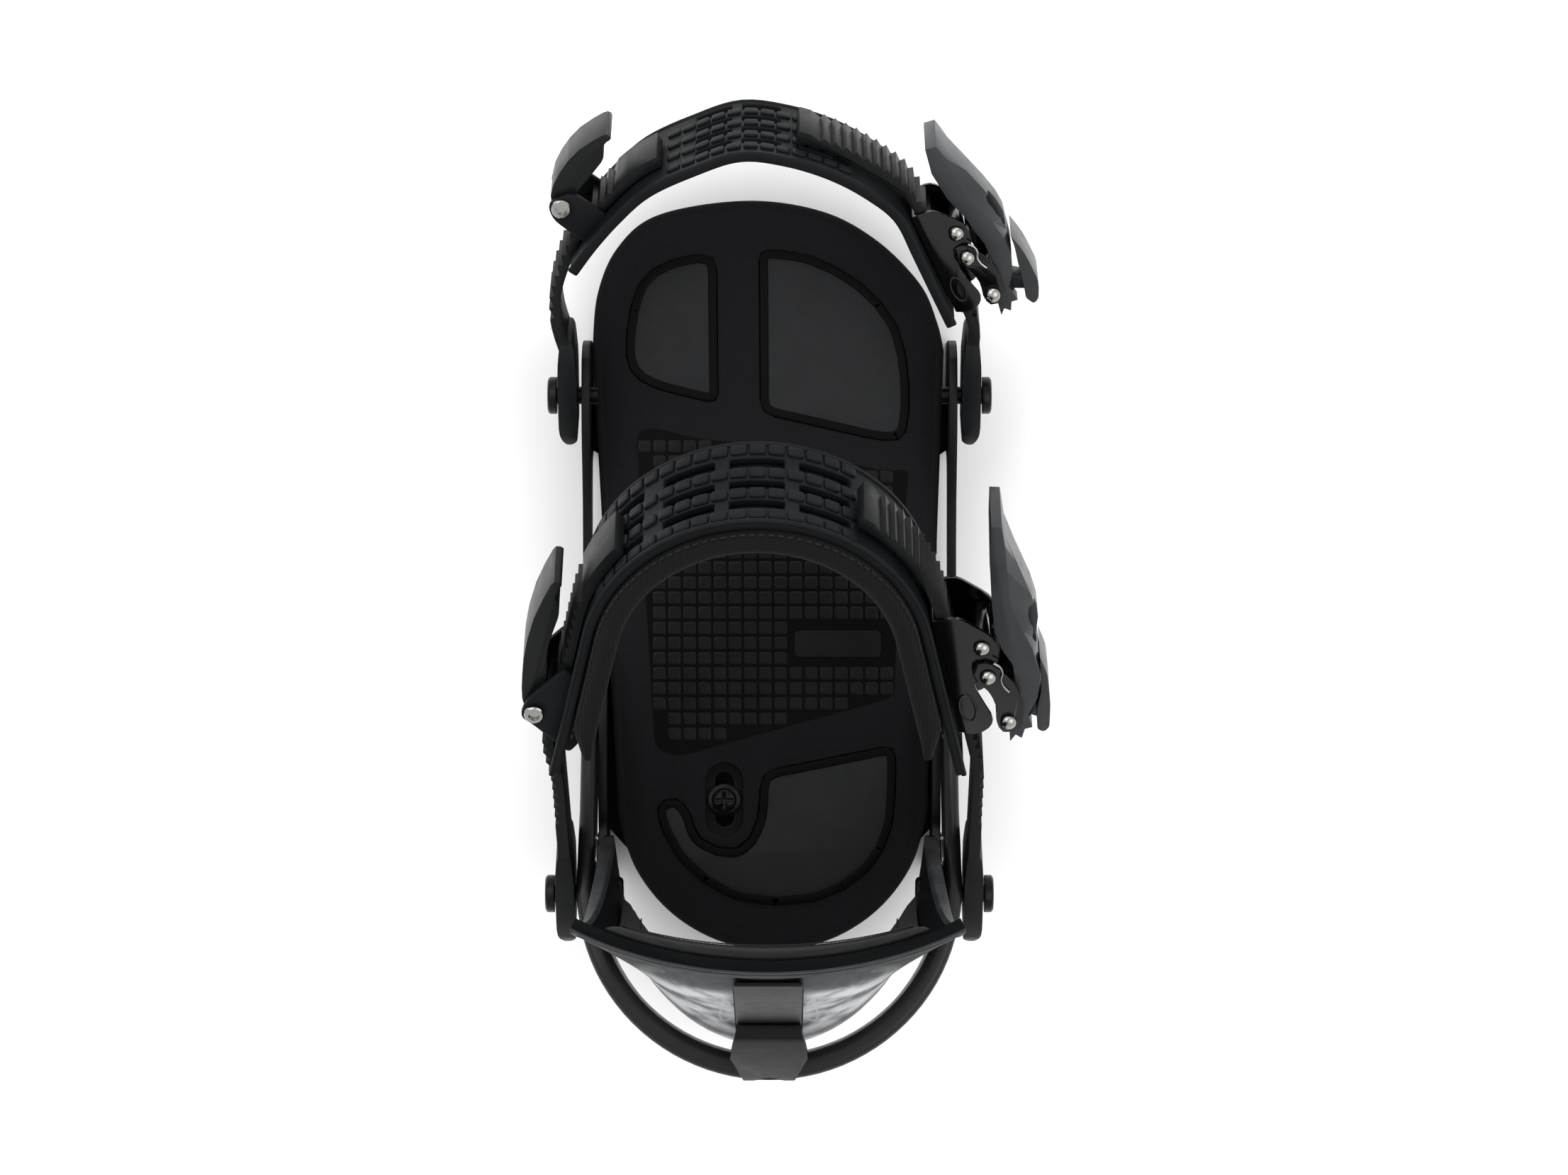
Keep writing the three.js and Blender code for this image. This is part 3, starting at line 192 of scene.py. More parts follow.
def section(inner: float, outer: float, low: float, high: float, radius: float, steps: int = 4,
            crown: float = 0.0) -> list[Point]:
    """A rounded rectangle as (distance, width) points.

    Args:
        inner: The distance of the inner side.
        outer: The distance of the outer side.
        low: The lower edge's place across the band.
        high: The upper edge's place across the band.
        radius: The corners' radius.
        steps: Steps round each corner.
        crown: How far the middle of the outer side is raised.

    Returns:
        The outline's points.
    """
    radius = min(radius, (outer - inner) / 2, (high - low) / 2)
    corners = [(outer, high, 0), (inner, high, 90), (inner, low, 180), (outer, low, 270)]
    points: list[Point] = []
    for d, w, start in corners:
        cd = d - radius if d == outer else d + radius
        cw = w - radius if w == high else w + radius
        for i in range(steps + 1):
            angle = math.radians(start + 90 * i / steps)
            points.append((cd + radius * math.cos(angle), cw + radius * math.sin(angle)))
    if crown:
        spans = 6
        edge = [(outer, low + radius + (high - low - 2 * radius) * i / spans) for i in range(1, spans)]
        points += [(d + crown * math.sin(math.pi * i / spans), w) for i, (d, w) in enumerate(edge, 1)]
    return points


@dataclass(frozen=True)
class Station:
    """One place along a strap's line: its point, the way along and the way out."""

    u: float
    v: float
    along: Point
    out: Point
    length: float


def spline(points: Sequence[Point], per_span: int = 10) -> list[Point]:
    """A smooth line through points.

    Args:
        points: The points to pass through.
        per_span: Steps between two points.

    Returns:
        The line's points.
    """
    padded = [points[0], *points, points[-1]]
    line: list[Point] = []
    for a, b, c, d in zip(padded, padded[1:], padded[2:], padded[3:]):
        for i in range(per_span):
            t = i / per_span
            line.append(tuple(0.5 * ((2 * b[k]) + (c[k] - a[k]) * t
                                     + (2 * a[k] - 5 * b[k] + 4 * c[k] - d[k]) * t ** 2
                                     + (3 * b[k] - a[k] - 3 * c[k] + d[k]) * t ** 3) for k in (0, 1)))
    return [*line, points[-1]]


def perimeter(points: Sequence[Point]) -> float:
    """The length of a closed line."""
    return sum(math.dist(a, b) for a, b in zip(points, (*points[1:], *points[:1])))


def smooth_loop(points: Sequence[Point], straight: float = 24.0, keep: float = 8.0) -> list[Point]:
    """A smooth closed line through an outline's corners.

    Args:
        points: The corners in millimetres.
        straight: An edge longer than this stays straight in its middle.
        keep: How far from its ends such an edge starts to bend.

    Returns:
        The line, with its first point again at its end.
    """
    corners: list[Point] = []
    for a, b in zip(points, (*points[1:], points[0])):
        corners.append(a)
        span = math.dist(a, b)
        if span > straight:
            for t in (keep / span, 1 - keep / span):
                corners.append(tuple(a[k] + (b[k] - a[k]) * t for k in (0, 1)))
    line: list[Point] = []
    count, steps = len(corners), 6
    for i in range(count):
        around = [corners[(i + k) % count] for k in (-1, 0, 1, 2)]
        line += spline(around, steps)[steps:2 * steps]
    return [*line, line[0]]


def stations(points: Sequence[Point], step: float, extra: Iterable[float] = ()) -> list[Station]:
    """Even steps along a line, where the way out is to the left of the way along.

    Args:
        points: The line's points in millimetres.
        step: The length of a step.
        extra: Lengths along the line that get a station of their own.

    Returns:
        The stations in order.
    """
    crowded, reach, hair = 0.35, 0.8, 1e-9
    lengths = [0.0]
    for a, b in zip(points, points[1:]):
        lengths.append(lengths[-1] + math.dist(a, b))
    total = lengths[-1]
    marks = sorted(extra)
    count = max(1, round(total / step))
    even = [total * i / count for i in range(count + 1)]
    wanted = sorted(marks + [s for s in even if all(abs(s - m) > step * crowded for m in marks)])

    def at(s: float) -> Point:
        """The point at a length along the line."""
        s = min(max(s, 0.0), total)
        i = max(k for k in range(len(points) - 1) if lengths[k] <= s + hair)
        t = (s - lengths[i]) / max(lengths[i + 1] - lengths[i], hair)
        return tuple(points[i][k] + (points[i + 1][k] - points[i][k]) * t for k in (0, 1))

    found: list[Station] = []
    for s in wanted:
        here, a, b = at(s), at(s - reach), at(s + reach)
        span = math.dist(a, b)
        along = ((b[0] - a[0]) / span, (b[1] - a[1]) / span)
        found.append(Station(*here, along, (-along[1], along[0]), s))
    return found


@dataclass(frozen=True)
class StrapFrame:
    """A strap's own frame: u across the foot, v up from the pivot along the strap, w across the band."""

    y: float
    z: float
    tilt: float

    @property
    def across(self) -> Vector:
        """The direction of w."""
        turn = math.radians(self.tilt)
        return Vector((0, -math.sin(turn), math.cos(turn)))

    @property
    def up(self) -> Vector:
        """The direction of v."""
        turn = math.radians(self.tilt)
        return Vector((0, math.cos(turn), math.sin(turn)))

    def place(self, u: float, v: float, w: float) -> Vector:
        """A point of the strap's frame, in metres in the binding's frame."""
        return (Vector((u, self.y, self.z)) + self.up * v + self.across * w) * MM

    def way(self, direction: Point) -> Vector:
        """A direction in the (u, v) plane, in the binding's frame."""
        return Vector((direction[0], 0, 0)) + self.up * direction[1]

    def band(self, name: str, line: Sequence[Station],
             shape: Callable[[float], Sequence[Point]]) -> Piece:
        """A band along a line.

        Args:
            name: The piece's name.
            line: The stations to follow.
            shape: The section's (distance out, w) points at a share of the way along, from 0 to 1.

        Returns:
            The band.
        """
        total = line[-1].length
        rings = []
        for s in line:
            rings.append([self.place(s.u + s.out[0] * d, s.v + s.out[1] * d, w)
                          for d, w in shape(s.length / total)])
        return loft(name, rings)

    def slab(self, name: str, outline: Sequence[Point], low: float, high: float) -> Piece:
        """An outline in the (u, v) plane pushed from w low to w high."""
        return loft(name, [[self.place(u, v, w) for u, v in outline] for w in (low, high)])

    def lattice(self, name: str, line: Sequence[Station], widths: Sequence[float], thick: float,
                gaps: Sequence[Window]) -> Piece:
        """A band with square windows.

        Args:
            name: The piece's name.
            line: The stations to follow.
            widths: The places across the band where it is divided.
            thick: The band's thickness.
            gaps: The windows, each as its ends along the line and its edges across the band.

        Returns:
            The band.
        """
        points = [self.place(s.u, s.v, w) for s in line for w in widths]
        across = len(widths)
        faces = []
        for r in range(len(line) - 1):
            middle = (line[r].length + line[r + 1].length) / 2
            for c in range(across - 1):
                w = (widths[c] + widths[c + 1]) / 2
                if not any(a < middle < b and lo < w < hi for a, b, lo, hi in gaps):
                    corner = r * across + c
                    faces.append([corner, corner + 1, corner + across + 1, corner + across])
        obj = object_from(name, points, faces)
        wall = obj.modifiers.new("wall", "SOLIDIFY")
        wall.thickness = thick * MM
        wall.offset = 0
        bake(obj)
        face_out(obj)
        return obj


def rounded(corners: Sequence[tuple[float, ...]], steps: int = 5) -> list[Point]:
    """An outline with each corner rounded.

    Args:
        corners: The corners, as (x, y) for a sharp one or (x, y, radius).
        steps: Steps round each corner.

    Returns:
        The outline's points.
    """
    most = 0.49
    points: list[Point] = []
    count = len(corners)
    for i, corner in enumerate(corners):
        here = Vector(corner[:2])
        radius = corner[2] if len(corner) > 2 else 0.0
        ends = []
        for other in (corners[i - 1], corners[(i + 1) % count]):
            away = Vector(other[:2]) - here
            ends.append(here + away.normalized() * min(radius, away.length * most))
        for k in range(steps + 1) if radius else [0]:
            t = k / steps
            p = ends[0] * (1 - t) ** 2 + here * 2 * t * (1 - t) + ends[1] * t ** 2
            points.append((p.x, p.y))
    return points


def turned(name: str, profile: Sequence[Point], centre: Vector, axis: Vector) -> Piece:
    """A turned piece.

    Args:
        name: The piece's name.
        profile: (along, radius) points in millimetres.
        centre: The point that lengths along are counted from, in metres.
        axis: The direction of the axis.

    Returns:
        The piece.
    """
    sides = 32
    side = axis.orthogonal().normalized()
    other = axis.cross(side).normalized()
    rings = []
    for along, radius in profile:
        ring = []
        for i in range(sides):
            a = 2 * math.pi * i / sides
            ring.append(centre + (axis * along + (side * math.cos(a) + other * math.sin(a)) * radius) * MM)
        rings.append(ring)
    return loft(name, rings)


def centre_of(node: str) -> Vector:
    """The middle of a node's box, in metres."""
    low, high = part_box(node)
    return (low + high) / 2


# ---------------------------------------------------------------- geometry nodes


class Beads:
    """A Geometry Nodes tree that sets one small rounded block on each point of a mesh."""

    def __init__(self) -> None:
        """Builds the tree with its named inputs."""
        tree = bpy.data.node_groups.new("Beads", "GeometryNodeTree")
        face = tree.interface
        face.new_socket("Points", in_out="INPUT", socket_type="NodeSocketGeometry")
        for name in ("Length", "Width", "Height", "Squareness"):
            face.new_socket(name, in_out="INPUT", socket_type="NodeSocketFloat")
        face.new_socket("Finish", in_out="INPUT", socket_type="NodeSocketMaterial")
        face.new_socket("Blocks", in_out="OUTPUT", socket_type="NodeSocketGeometry")
        make, join = tree.nodes.new, tree.links.new
        source, sink = make("NodeGroupInput"), make("NodeGroupOutput")
        size, cube = make("ShaderNodeCombineXYZ"), make("GeometryNodeMeshCube")
        surface = make("GeometryNodeSubdivisionSurface")
        for axis, name in zip("XYZ", ("Length", "Width", "Height")):
            join(source.outputs[name], size.inputs[axis])
        join(size.outputs[0], cube.inputs["Size"])
        join(cube.outputs["Mesh"], surface.inputs["Mesh"])
        surface.inputs["Level"].default_value = 2
        join(source.outputs["Squareness"], surface.inputs["Edge Crease"])
        turn: Socket | None = None
        for axis, name in (("X", "along"), ("Z", "out")):
            read = make("GeometryNodeInputNamedAttribute")
            read.data_type = "FLOAT_VECTOR"
            read.inputs["Name"].default_value = name
            align = make("FunctionNodeAlignRotationToVector")
            align.axis = axis
            align.pivot_axis = "AUTO" if turn is None else "X"
            if turn is not None:
                join(turn, align.inputs["Rotation"])
            join(read.outputs["Attribute"], align.inputs["Vector"])
            turn = align.outputs[0]
        put, real = make("GeometryNodeInstanceOnPoints"), make("GeometryNodeRealizeInstances")
        shade, paint = make("GeometryNodeSetShadeSmooth"), make("GeometryNodeSetMaterial")
        join(source.outputs["Points"], put.inputs["Points"])
        join(surface.outputs[0], put.inputs["Instance"])
        join(turn, put.inputs["Rotation"])
        join(put.outputs[0], real.inputs[0])
        join(real.outputs[0], shade.inputs[0])
        join(shade.outputs[0], paint.inputs["Geometry"])
        join(source.outputs["Finish"], paint.inputs["Material"])
        join(paint.outputs[0], sink.inputs[0])
        self.tree = tree

    def lay(self, name: str, seats: Sequence[Seat], size: tuple[float, float, float],
            finish: bpy.types.Material, squareness: float) -> Piece:
        """Lays blocks on seats.

        Args:
            name: The piece's name.
            seats: For each block its place, the way along and the way out, in metres.
            size: The block's length, width and height in millimetres.
            finish: The material of the blocks.
            squareness: From 0, a pebble, to 1, a sharp box.

        Returns:
            The blocks as one plain mesh.
        """
        obj = object_from(name, [s[0] for s in seats], [])
        for key, column in (("along", 1), ("out", 2)):
            data = obj.data.attributes.new(key, "FLOAT_VECTOR", "POINT")
            data.data.foreach_set("vector", [c for s in seats for c in s[column].normalized()])
        nodes = obj.modifiers.new("beads", "NODES")
        nodes.node_group = self.tree
        values = dict(zip(("Length", "Width", "Height"), (v * MM for v in size)))
        values |= {"Squareness": squareness, "Finish": finish}
        for item in self.tree.interface.items_tree:
            if item.name in values:
                nodes[item.identifier] = values[item.name]
        bake(obj)
        for key in ("along", "out"):
            left = obj.data.attributes.get(key)
            if left is not None:
                obj.data.attributes.remove(left)
        return obj


# ---------------------------------------------------------------- finishes


def tone(red: int, green: int, blue: int, share_of_light: float = 0.3) -> Colour:
    """The shader's linear colour for a colour as it shows under the studio's light.

    Args:
        red: From 0 to 255.
        green: From 0 to 255.
        blue: From 0 to 255.
        share_of_light: How dark the surface itself is, because the studio brightens it.

    Returns:
        The colour with its alpha.
    """
    def linear(value: int) -> float:
        """One channel, freed of the screen's curve."""
        share = value / 255
        return share / 12.92 if share <= 0.04045 else ((share + 0.055) / 1.055) ** 2.4
    return (*(linear(value) * share_of_light for value in (red, green, blue)), 1.0)


class Bench:
    """Places and joins the nodes of one material."""

    def __init__(self, name: str) -> None:
        """Starts a material with a Principled shader.

        Args:
            name: The material's name.
        """
        self.material = bpy.data.materials.new(name)
        self.material.use_nodes = True
        self.tree = self.material.node_tree
        self.shader = self.tree.nodes["Principled BSDF"]
        self.place = self.node("ShaderNodeTexCoord").outputs["Object"]

    def node(self, kind: str, **values: object) -> bpy.types.Node:
        """Makes a node.

        Args:
            kind: The node's type.
            **values: Its inputs, set or joined; an underscore in a name stands for a space.

        Returns:
            The node.
        """
        made = self.tree.nodes.new(kind)
        for key, value in values.items():
            self.give(made.inputs[key.replace("_", " ")], value)
        return made

    def give(self, socket: Socket, value: object) -> None:
        """Sets a socket, or joins it to another.

        Args:
            socket: The input.
            value: A number, a colour, or an output to join.
        """
        if isinstance(value, bpy.types.NodeSocket):
            self.tree.links.new(value, socket)
        else:
            socket.default_value = value

    def math(self, operation: str, *values: object) -> Socket:
        """A Math node's result.

        Args:
            operation: The node's operation.
            *values: Its inputs in order.

        Returns:
            The result's socket.
        """
        made = self.tree.nodes.new("ShaderNodeMath")
        made.operation = operation
        for socket, value in zip(made.inputs, values):
            self.give(socket, value)
        return made.outputs[0]

    def noise(self, scale: float, detail: float, place: Socket | None = None,
              distortion: float = 0.0) -> Socket:
        """Noise on the piece.

        Args:
            scale: The grain, in repeats per metre.
            detail: Levels of finer noise in it.
            place: Where it is read, if not straight at the piece's own coordinates.
            distortion: How far it is twisted.

        Returns:
            The value's socket.
        """
        made = self.node("ShaderNodeTexNoise", Vector=place or self.place, Scale=scale, Detail=detail,
                         Distortion=distortion)
        return made.outputs["Fac"]

    def ramp(self, value: Socket, stops: Sequence[tuple[float, Colour]]) -> Socket:
        """A colour ramp's colour.

        Args:
            value: What the ramp reads.
            stops: Its (position, colour) stops in order.

        Returns:
            The colour's socket.
        """
        made = self.node("ShaderNodeValToRGB", Fac=value)
        elements = made.color_ramp.elements
        while len(elements) < len(stops):
            elements.new(0.5)
        for element, (position, colour) in zip(elements, stops):
            element.position = position
            element.color = colour
        return made.outputs["Color"]

    def bump(self, height: Socket, depth: float) -> None:
        """Relief of a depth in millimetres."""
        made = self.node("ShaderNodeBump", Height=height, Distance=depth * MM, Strength=1.0)
        self.give(self.shader.inputs["Normal"], made.outputs["Normal"])

    def plain(self, **values: object) -> None:
        """Sets the shader's own sockets."""
        for key, value in values.items():
            self.give(self.shader.inputs[key.replace("_", " ")], value)


@dataclass(frozen=True)
class Moulded:
    """A moulded, cast or painted finish with a fine grain and faint mottling.

    Grain, clouds and smears are repeats per metre, and the depth of the grain is in millimetres.
    """

    name: str
    colour: Shade
    rough: float
    metal: float = 0.0
    gloss: float = 0.13
    coat: float = 0.0
    grain: float = 1400.0
    depth: float = 0.04
    mottle: float = 0.22
    spread: float = 0.08
    coat_rough: float = 0.12
    clouds: float = 90.0
    smears: float = 260.0
    darkest_at: float = 0.3
    lightest_at: float = 0.72

    def build(self) -> bpy.types.Material:
        """Builds the material.

        Returns:
            The finished material.
        """
        bench = Bench(self.name)
        base = tone(*self.colour)
        dark = tuple(c * (1 - self.mottle) for c in base[:3]) + (1.0,)
        light = tuple(min(c * (1 + self.mottle), 1.0) for c in base[:3]) + (1.0,)
        cloud = bench.noise(self.clouds, 5.0)
        colour = bench.ramp(cloud, [(self.darkest_at, dark), (self.lightest_at, light)])
        bench.plain(Base_Color=colour, Metallic=self.metal, Specular_IOR_Level=self.gloss,
                    Coat_Weight=self.coat, Coat_Roughness=self.coat_rough)
        fine = bench.noise(self.grain, 3.0)
        spread = bench.node("ShaderNodeMapRange", Value=bench.noise(self.smears, 4.0),
                            To_Min=self.rough - self.spread, To_Max=self.rough + self.spread)
        bench.plain(Roughness=spread.outputs["Result"])
        bench.bump(fine, self.depth)
        return bench.material


@dataclass(frozen=True)
class Woven:
    """A woven or knitted cover: threads crossing at a pitch in millimetres."""

    name: str
    colour: Shade
    pitch: float = 1.1
    depth: float = 0.25
    sheen: float = 0.35
    contrast: float = 0.45
    rough: float = 0.92
    sheen_rough: float = 0.5
    gloss: float = 0.1
    climb: float = 0.8
    fibres: float = 2200.0
    fibre_share: float = 0.5
    thread_share: float = 0.6
    darkest_at: float = 0.25
    lightest_at: float = 0.85

    def build(self) -> bpy.types.Material:
        """Builds the material.

        Returns:
            The finished material.
        """
        bench = Bench(self.name)
        turns = 2 * math.pi / (self.pitch * MM)
        split = bench.node("ShaderNodeSeparateXYZ", Vector=bench.place)
        rise = bench.math("MULTIPLY", split.outputs["Z"], self.climb)
        slope = bench.math("ADD", split.outputs["Y"], rise)
        threads = []
        for way in ("ADD", "SUBTRACT"):
            crossing = bench.math(way, split.outputs["X"], slope)
            threads.append(bench.math("SINE", bench.math("MULTIPLY", crossing, turns / 2)))
        cloth = bench.math("MULTIPLY_ADD", bench.math("MULTIPLY", *threads), 0.5, 0.5)
        weave = bench.math("MULTIPLY", cloth, self.thread_share)
        fuzz = bench.math("MULTIPLY_ADD", bench.noise(self.fibres, 2.0), self.fibre_share, weave)
        base = tone(*self.colour)
        dark = tuple(c * (1 - self.contrast) for c in base[:3]) + (1.0,)
        light = tuple(c * (1 + self.contrast) for c in base[:3]) + (1.0,)
        colour = bench.ramp(fuzz, [(self.darkest_at, dark), (self.lightest_at, light)])
        bench.plain(Base_Color=colour, Roughness=self.rough, Sheen_Weight=self.sheen,
                    Sheen_Roughness=self.sheen_rough, Specular_IOR_Level=self.gloss)
        bench.bump(fuzz, self.depth)
        return bench.material


@dataclass(frozen=True)
class CloudPrint:
    """The highback's printed skin: clouds from black to white with pale curved outlines, alike on both sides.

    Only the back face is printed. The wings, the rim, the front and the strip down the middle stay dark.
    """

    name: str
    dark: Shade = (30, 32, 35)
    middle: Shade = (118, 123, 128)
    pale: Shade = (236, 239, 241)
    stretch: float = 0.4
    bright_below: float = 110.0
    dark_above: float = 214.0
    stripe: float = 10.5
    wing_start: float = -112.0
    wing_end: float = -100.0
    facing_back: float = -0.2
    outlines: float = 5.0
    outline_width: float = 0.03
    outline_share: float = 0.7
    rough: float = 0.5
    gloss: float = 0.02

    def build(self) -> bpy.types.Material:
        """Builds the material.

        Returns:
            The finished material.
        """
        bench = Bench(self.name)
        split = bench.node("ShaderNodeSeparateXYZ", Vector=bench.place)
        aside = bench.math("ABSOLUTE", split.outputs["X"])
        fold = bench.node("ShaderNodeCombineXYZ", X=aside, Y=split.outputs["Y"],
                          Z=bench.math("MULTIPLY", split.outputs["Z"], self.stretch))
        place = fold.outputs[0]
        cloud = bench.noise(19.0, 9.0, place, 1.1)
        grit = bench.noise(160.0, 6.0, place)
        height = bench.node("ShaderNodeMapRange", Value=split.outputs["Z"],
                            From_Min=self.bright_below * MM, From_Max=self.dark_above * MM,
                            To_Min=0.03, To_Max=-0.035)
        mixed = bench.math("MULTIPLY_ADD", grit, 0.16, bench.math("ADD", cloud, height.outputs["Result"]))
        smoke = bench.ramp(mixed, [(0.49, tone(*self.dark, 0.4)), (0.6, tone(*self.middle, 0.5)),
                                   (0.72, tone(*self.pale, 0.6))])
        tongue = bench.noise(11.0, 1.0, place, 2.2)
        level = bench.math("FRACT", bench.math("MULTIPLY", tongue, self.outlines))
        ring = bench.math("ABSOLUTE", bench.math("SUBTRACT", level, 0.5))
        drawn = bench.math("LESS_THAN", ring, self.outline_width)
        line = bench.math("MULTIPLY", drawn, self.outline_share)
        flame = self.mix(bench, line, smoke, tone(*self.pale, 0.45))
        facing = bench.node("ShaderNodeNewGeometry").outputs["Normal"]
        normal = bench.node("ShaderNodeSeparateXYZ", Vector=facing)
        rear = bench.math("LESS_THAN", normal.outputs["Y"], self.facing_back)
        ahead = bench.node("ShaderNodeMapRange", Value=split.outputs["Y"],
                           From_Min=self.wing_start * MM, From_Max=self.wing_end * MM,
                           To_Min=1.0, To_Max=0.0)
        outside = bench.math("GREATER_THAN", aside, self.stripe * MM)
        inked = bench.math("MULTIPLY", bench.math("MULTIPLY", rear, outside), ahead.outputs["Result"])
        skin = self.mix(bench, inked, None, flame)
        bench.plain(Base_Color=skin, Roughness=self.rough, Specular_IOR_Level=self.gloss)
        bench.bump(bench.noise(900.0, 3.0), 0.03)
        return bench.material

    def mix(self, bench: Bench, share: Socket, first: Socket | None, second: object) -> Socket:
        """Mixes two colours.

        Args:
            bench: The material's nodes.
            share: The second colour's share.
            first: The first colour, or None for the dark of the bare shell.
            second: The second colour.

        Returns:
            The mixed colour's socket.
        """
        made = bench.node("ShaderNodeMix")
        made.data_type = "RGBA"
        bench.give(made.inputs[0], share)
        bench.give(made.inputs[6], first if first is not None else tone(*self.dark))
        bench.give(made.inputs[7], second)
        return made.outputs[2]


class Finish(Enum):
    """The binding's finishes."""

    CHASSIS = Moulded("chassis_nylon", (30, 31, 34), 0.46, grain=2200.0, depth=0.06)
    DISC = Moulded("disc_nylon", (24, 25, 27), 0.55, grain=2200.0, depth=0.06)
    HOOP = Moulded("hoop_satin", (40, 41, 43), 0.34, gloss=0.22, depth=0.02, mottle=0.1)
    BOLT = Moulded("bolt_black", (26, 27, 28), 0.3, metal=0.6, gloss=0.3, depth=0.015)
    BED = Woven("bed_cover", (44, 44, 48), pitch=0.8, depth=0.14, sheen=0.05, contrast=0.45)
    CELL = Moulded("bed_grid", (34, 35, 37), 0.45, gloss=0.1, depth=0.03)
    GRIP = Moulded("grip_rubber", (48, 50, 53), 0.6, gloss=0.2, depth=0.03, mottle=0.12)
    # Near-black painted shade: it stands for the shade in the groove round each pad and in the gaps between
    # the footbed's cells.
    PAINTED_GROOVE_SHADE = Moulded("pad_groove_painted_shade", (9, 9, 10), 0.5, gloss=0.06, depth=0.02)
    PRINT = CloudPrint("cloud_print")
    LINER = Woven("liner_weave", (34, 35, 36), pitch=1.1, depth=0.22, sheen=0.05, contrast=0.3)
    THREAD = Moulded("thread", (62, 63, 64), 0.8, grain=3000.0, depth=0.08)
    LEAN = Moulded("lean_nylon", (40, 41, 43), 0.44, gloss=0.08, depth=0.03)
    STRAP = Moulded("strap_rubber", (36, 39, 42), 0.5, gloss=0.08, depth=0.03, mottle=0.14)
    LADDER = Moulded("ladder_nylon", (38, 40, 42), 0.4, gloss=0.1, depth=0.02, mottle=0.12)
    ADJUSTER = Moulded("adjuster_nylon", (34, 36, 37), 0.38, gloss=0.16, depth=0.02, mottle=0.12)
    STEEL = Moulded("buckle_gloss", (18, 19, 19), 0.16, metal=0.3, gloss=0.3, coat=0.3, depth=0.008,
                    mottle=0.08, spread=0.04)
    NICKEL = Moulded("rivet_nickel", (255, 252, 245), 0.2, metal=1.0, depth=0.01, mottle=0.06, spread=0.05)
    LEVER = Moulded("lever_cast", (92, 95, 99), 0.34, metal=0.5, gloss=0.3, depth=0.02, mottle=0.12)
    RIB = Moulded("rim_rib", (74, 77, 80), 0.5, gloss=0.1, grain=900.0, depth=0.12, mottle=0.4)
    SPRING = Moulded("spring_wire", (250, 250, 248), 0.28, metal=1.0, depth=0.01)


class Workshop:
    """Finishes and settles the pieces of the binding."""

    def __init__(self) -> None:
        """Builds the materials and the bead tree once."""
        self.materials = {finish: finish.value.build() for finish in Finish}
        self.beads = Beads()

    def settle(self, obj: Piece, body: str, slot: str, finish: Finish, *nodes: str) -> Piece:
        """Gives a piece its finish, and lets it ride on a body.

        Args:
            obj: The piece.
            body: The body that it moves with.
            slot: The record's material slot; not used.
            finish: Its finish.
            *nodes: The nodes that it stands for.

        Returns:
            The same object.
        """
        obj.data.materials.clear()
        obj.data.materials.append(self.materials[finish])
        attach(obj, body)
        if nodes:
            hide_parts(*nodes)
        LOG.info("%s: %d faces on %s", obj.name, len(obj.data.polygons), body)
        return obj

    def refined(self, node: str, body: str, slot: str, finish: Finish, bevel: float, segments: int = 2,
                limit: float = BEND) -> Piece:
        """A merged copy of a node with rounded edges, which stands for the node.

        Args:
            node: The node.
            body: The body that the copy moves with.
            slot: The record's material slot.
            finish: Its finish.
            bevel: The edges' radius in millimetres.
            segments: Steps across each rounded edge.
            limit: Edges sharper than this many degrees are rounded.

        Returns:
            The copy.
        """
        source = bpy.data.objects[node]
        obj = bpy.data.objects.new(f"{node}_finished", source.data.copy())
        bpy.context.scene.collection.objects.link(obj)
        work = bmesh.new()
        work.from_mesh(obj.data)
        bmesh.ops.remove_doubles(work, verts=work.verts, dist=MERGE)
        bmesh.ops.dissolve_limit(work, angle_limit=COPLANAR, verts=work.verts, edges=work.edges)
        work.to_mesh(obj.data)
        work.free()
        for left in [a.name for a in obj.data.attributes if a.name.startswith("custom_normal")]:
            obj.data.attributes.remove(obj.data.attributes[left])
        soften(obj, bevel, segments, limit=limit)
        return self.settle(obj, body, slot, finish, node)

    def lay(self, name: str, body: str, slot: str, finish: Finish, seats: Sequence[Seat],
            size: tuple[float, float, float], squareness: float) -> Piece:
        """Lays beads of a finish and settles them on a body."""
        obj = self.beads.lay(name, seats, size, self.materials[finish], squareness)
        return self.settle(obj, body, slot, finish)


# ---------------------------------------------------------------- sub-assemblies


@dataclass(frozen=True)
class BoltHead:
    """A round head: its radius, its thickness, and the socket in its face.

    The shank reaches behind the face, and proud is how far the face stands out from the node's own.
    """

    radius: float
    thick: float
    socket: float
    proud: float = 0.0
    shank: float = 5.0
    neck: float = 2.8
    chamfer: float = 0.2
    shoulder: float = 0.9
    curve: float = 0.35
    dish: float = 1.1
    lip: float = 0.3
    depth: float = 1.5

    def profile(self) -> list[Point]:
        """The (along, radius) points from the shank's end to the bottom of the socket.

        Returns:
            The points.
        """
        points = [(-self.shank, self.neck), (-self.thick, self.neck),
                  (-self.thick, self.radius - self.chamfer), (-self.thick + self.chamfer, self.radius),
                  (-self.shoulder, self.radius), (-self.curve, self.radius - self.curve),
                  (0, self.radius - self.dish), (0, self.socket + self.lip), (-self.lip, self.socket),
                  (-self.depth, self.socket)]
        return [(along + self.proud, radius) for along, radius in points]


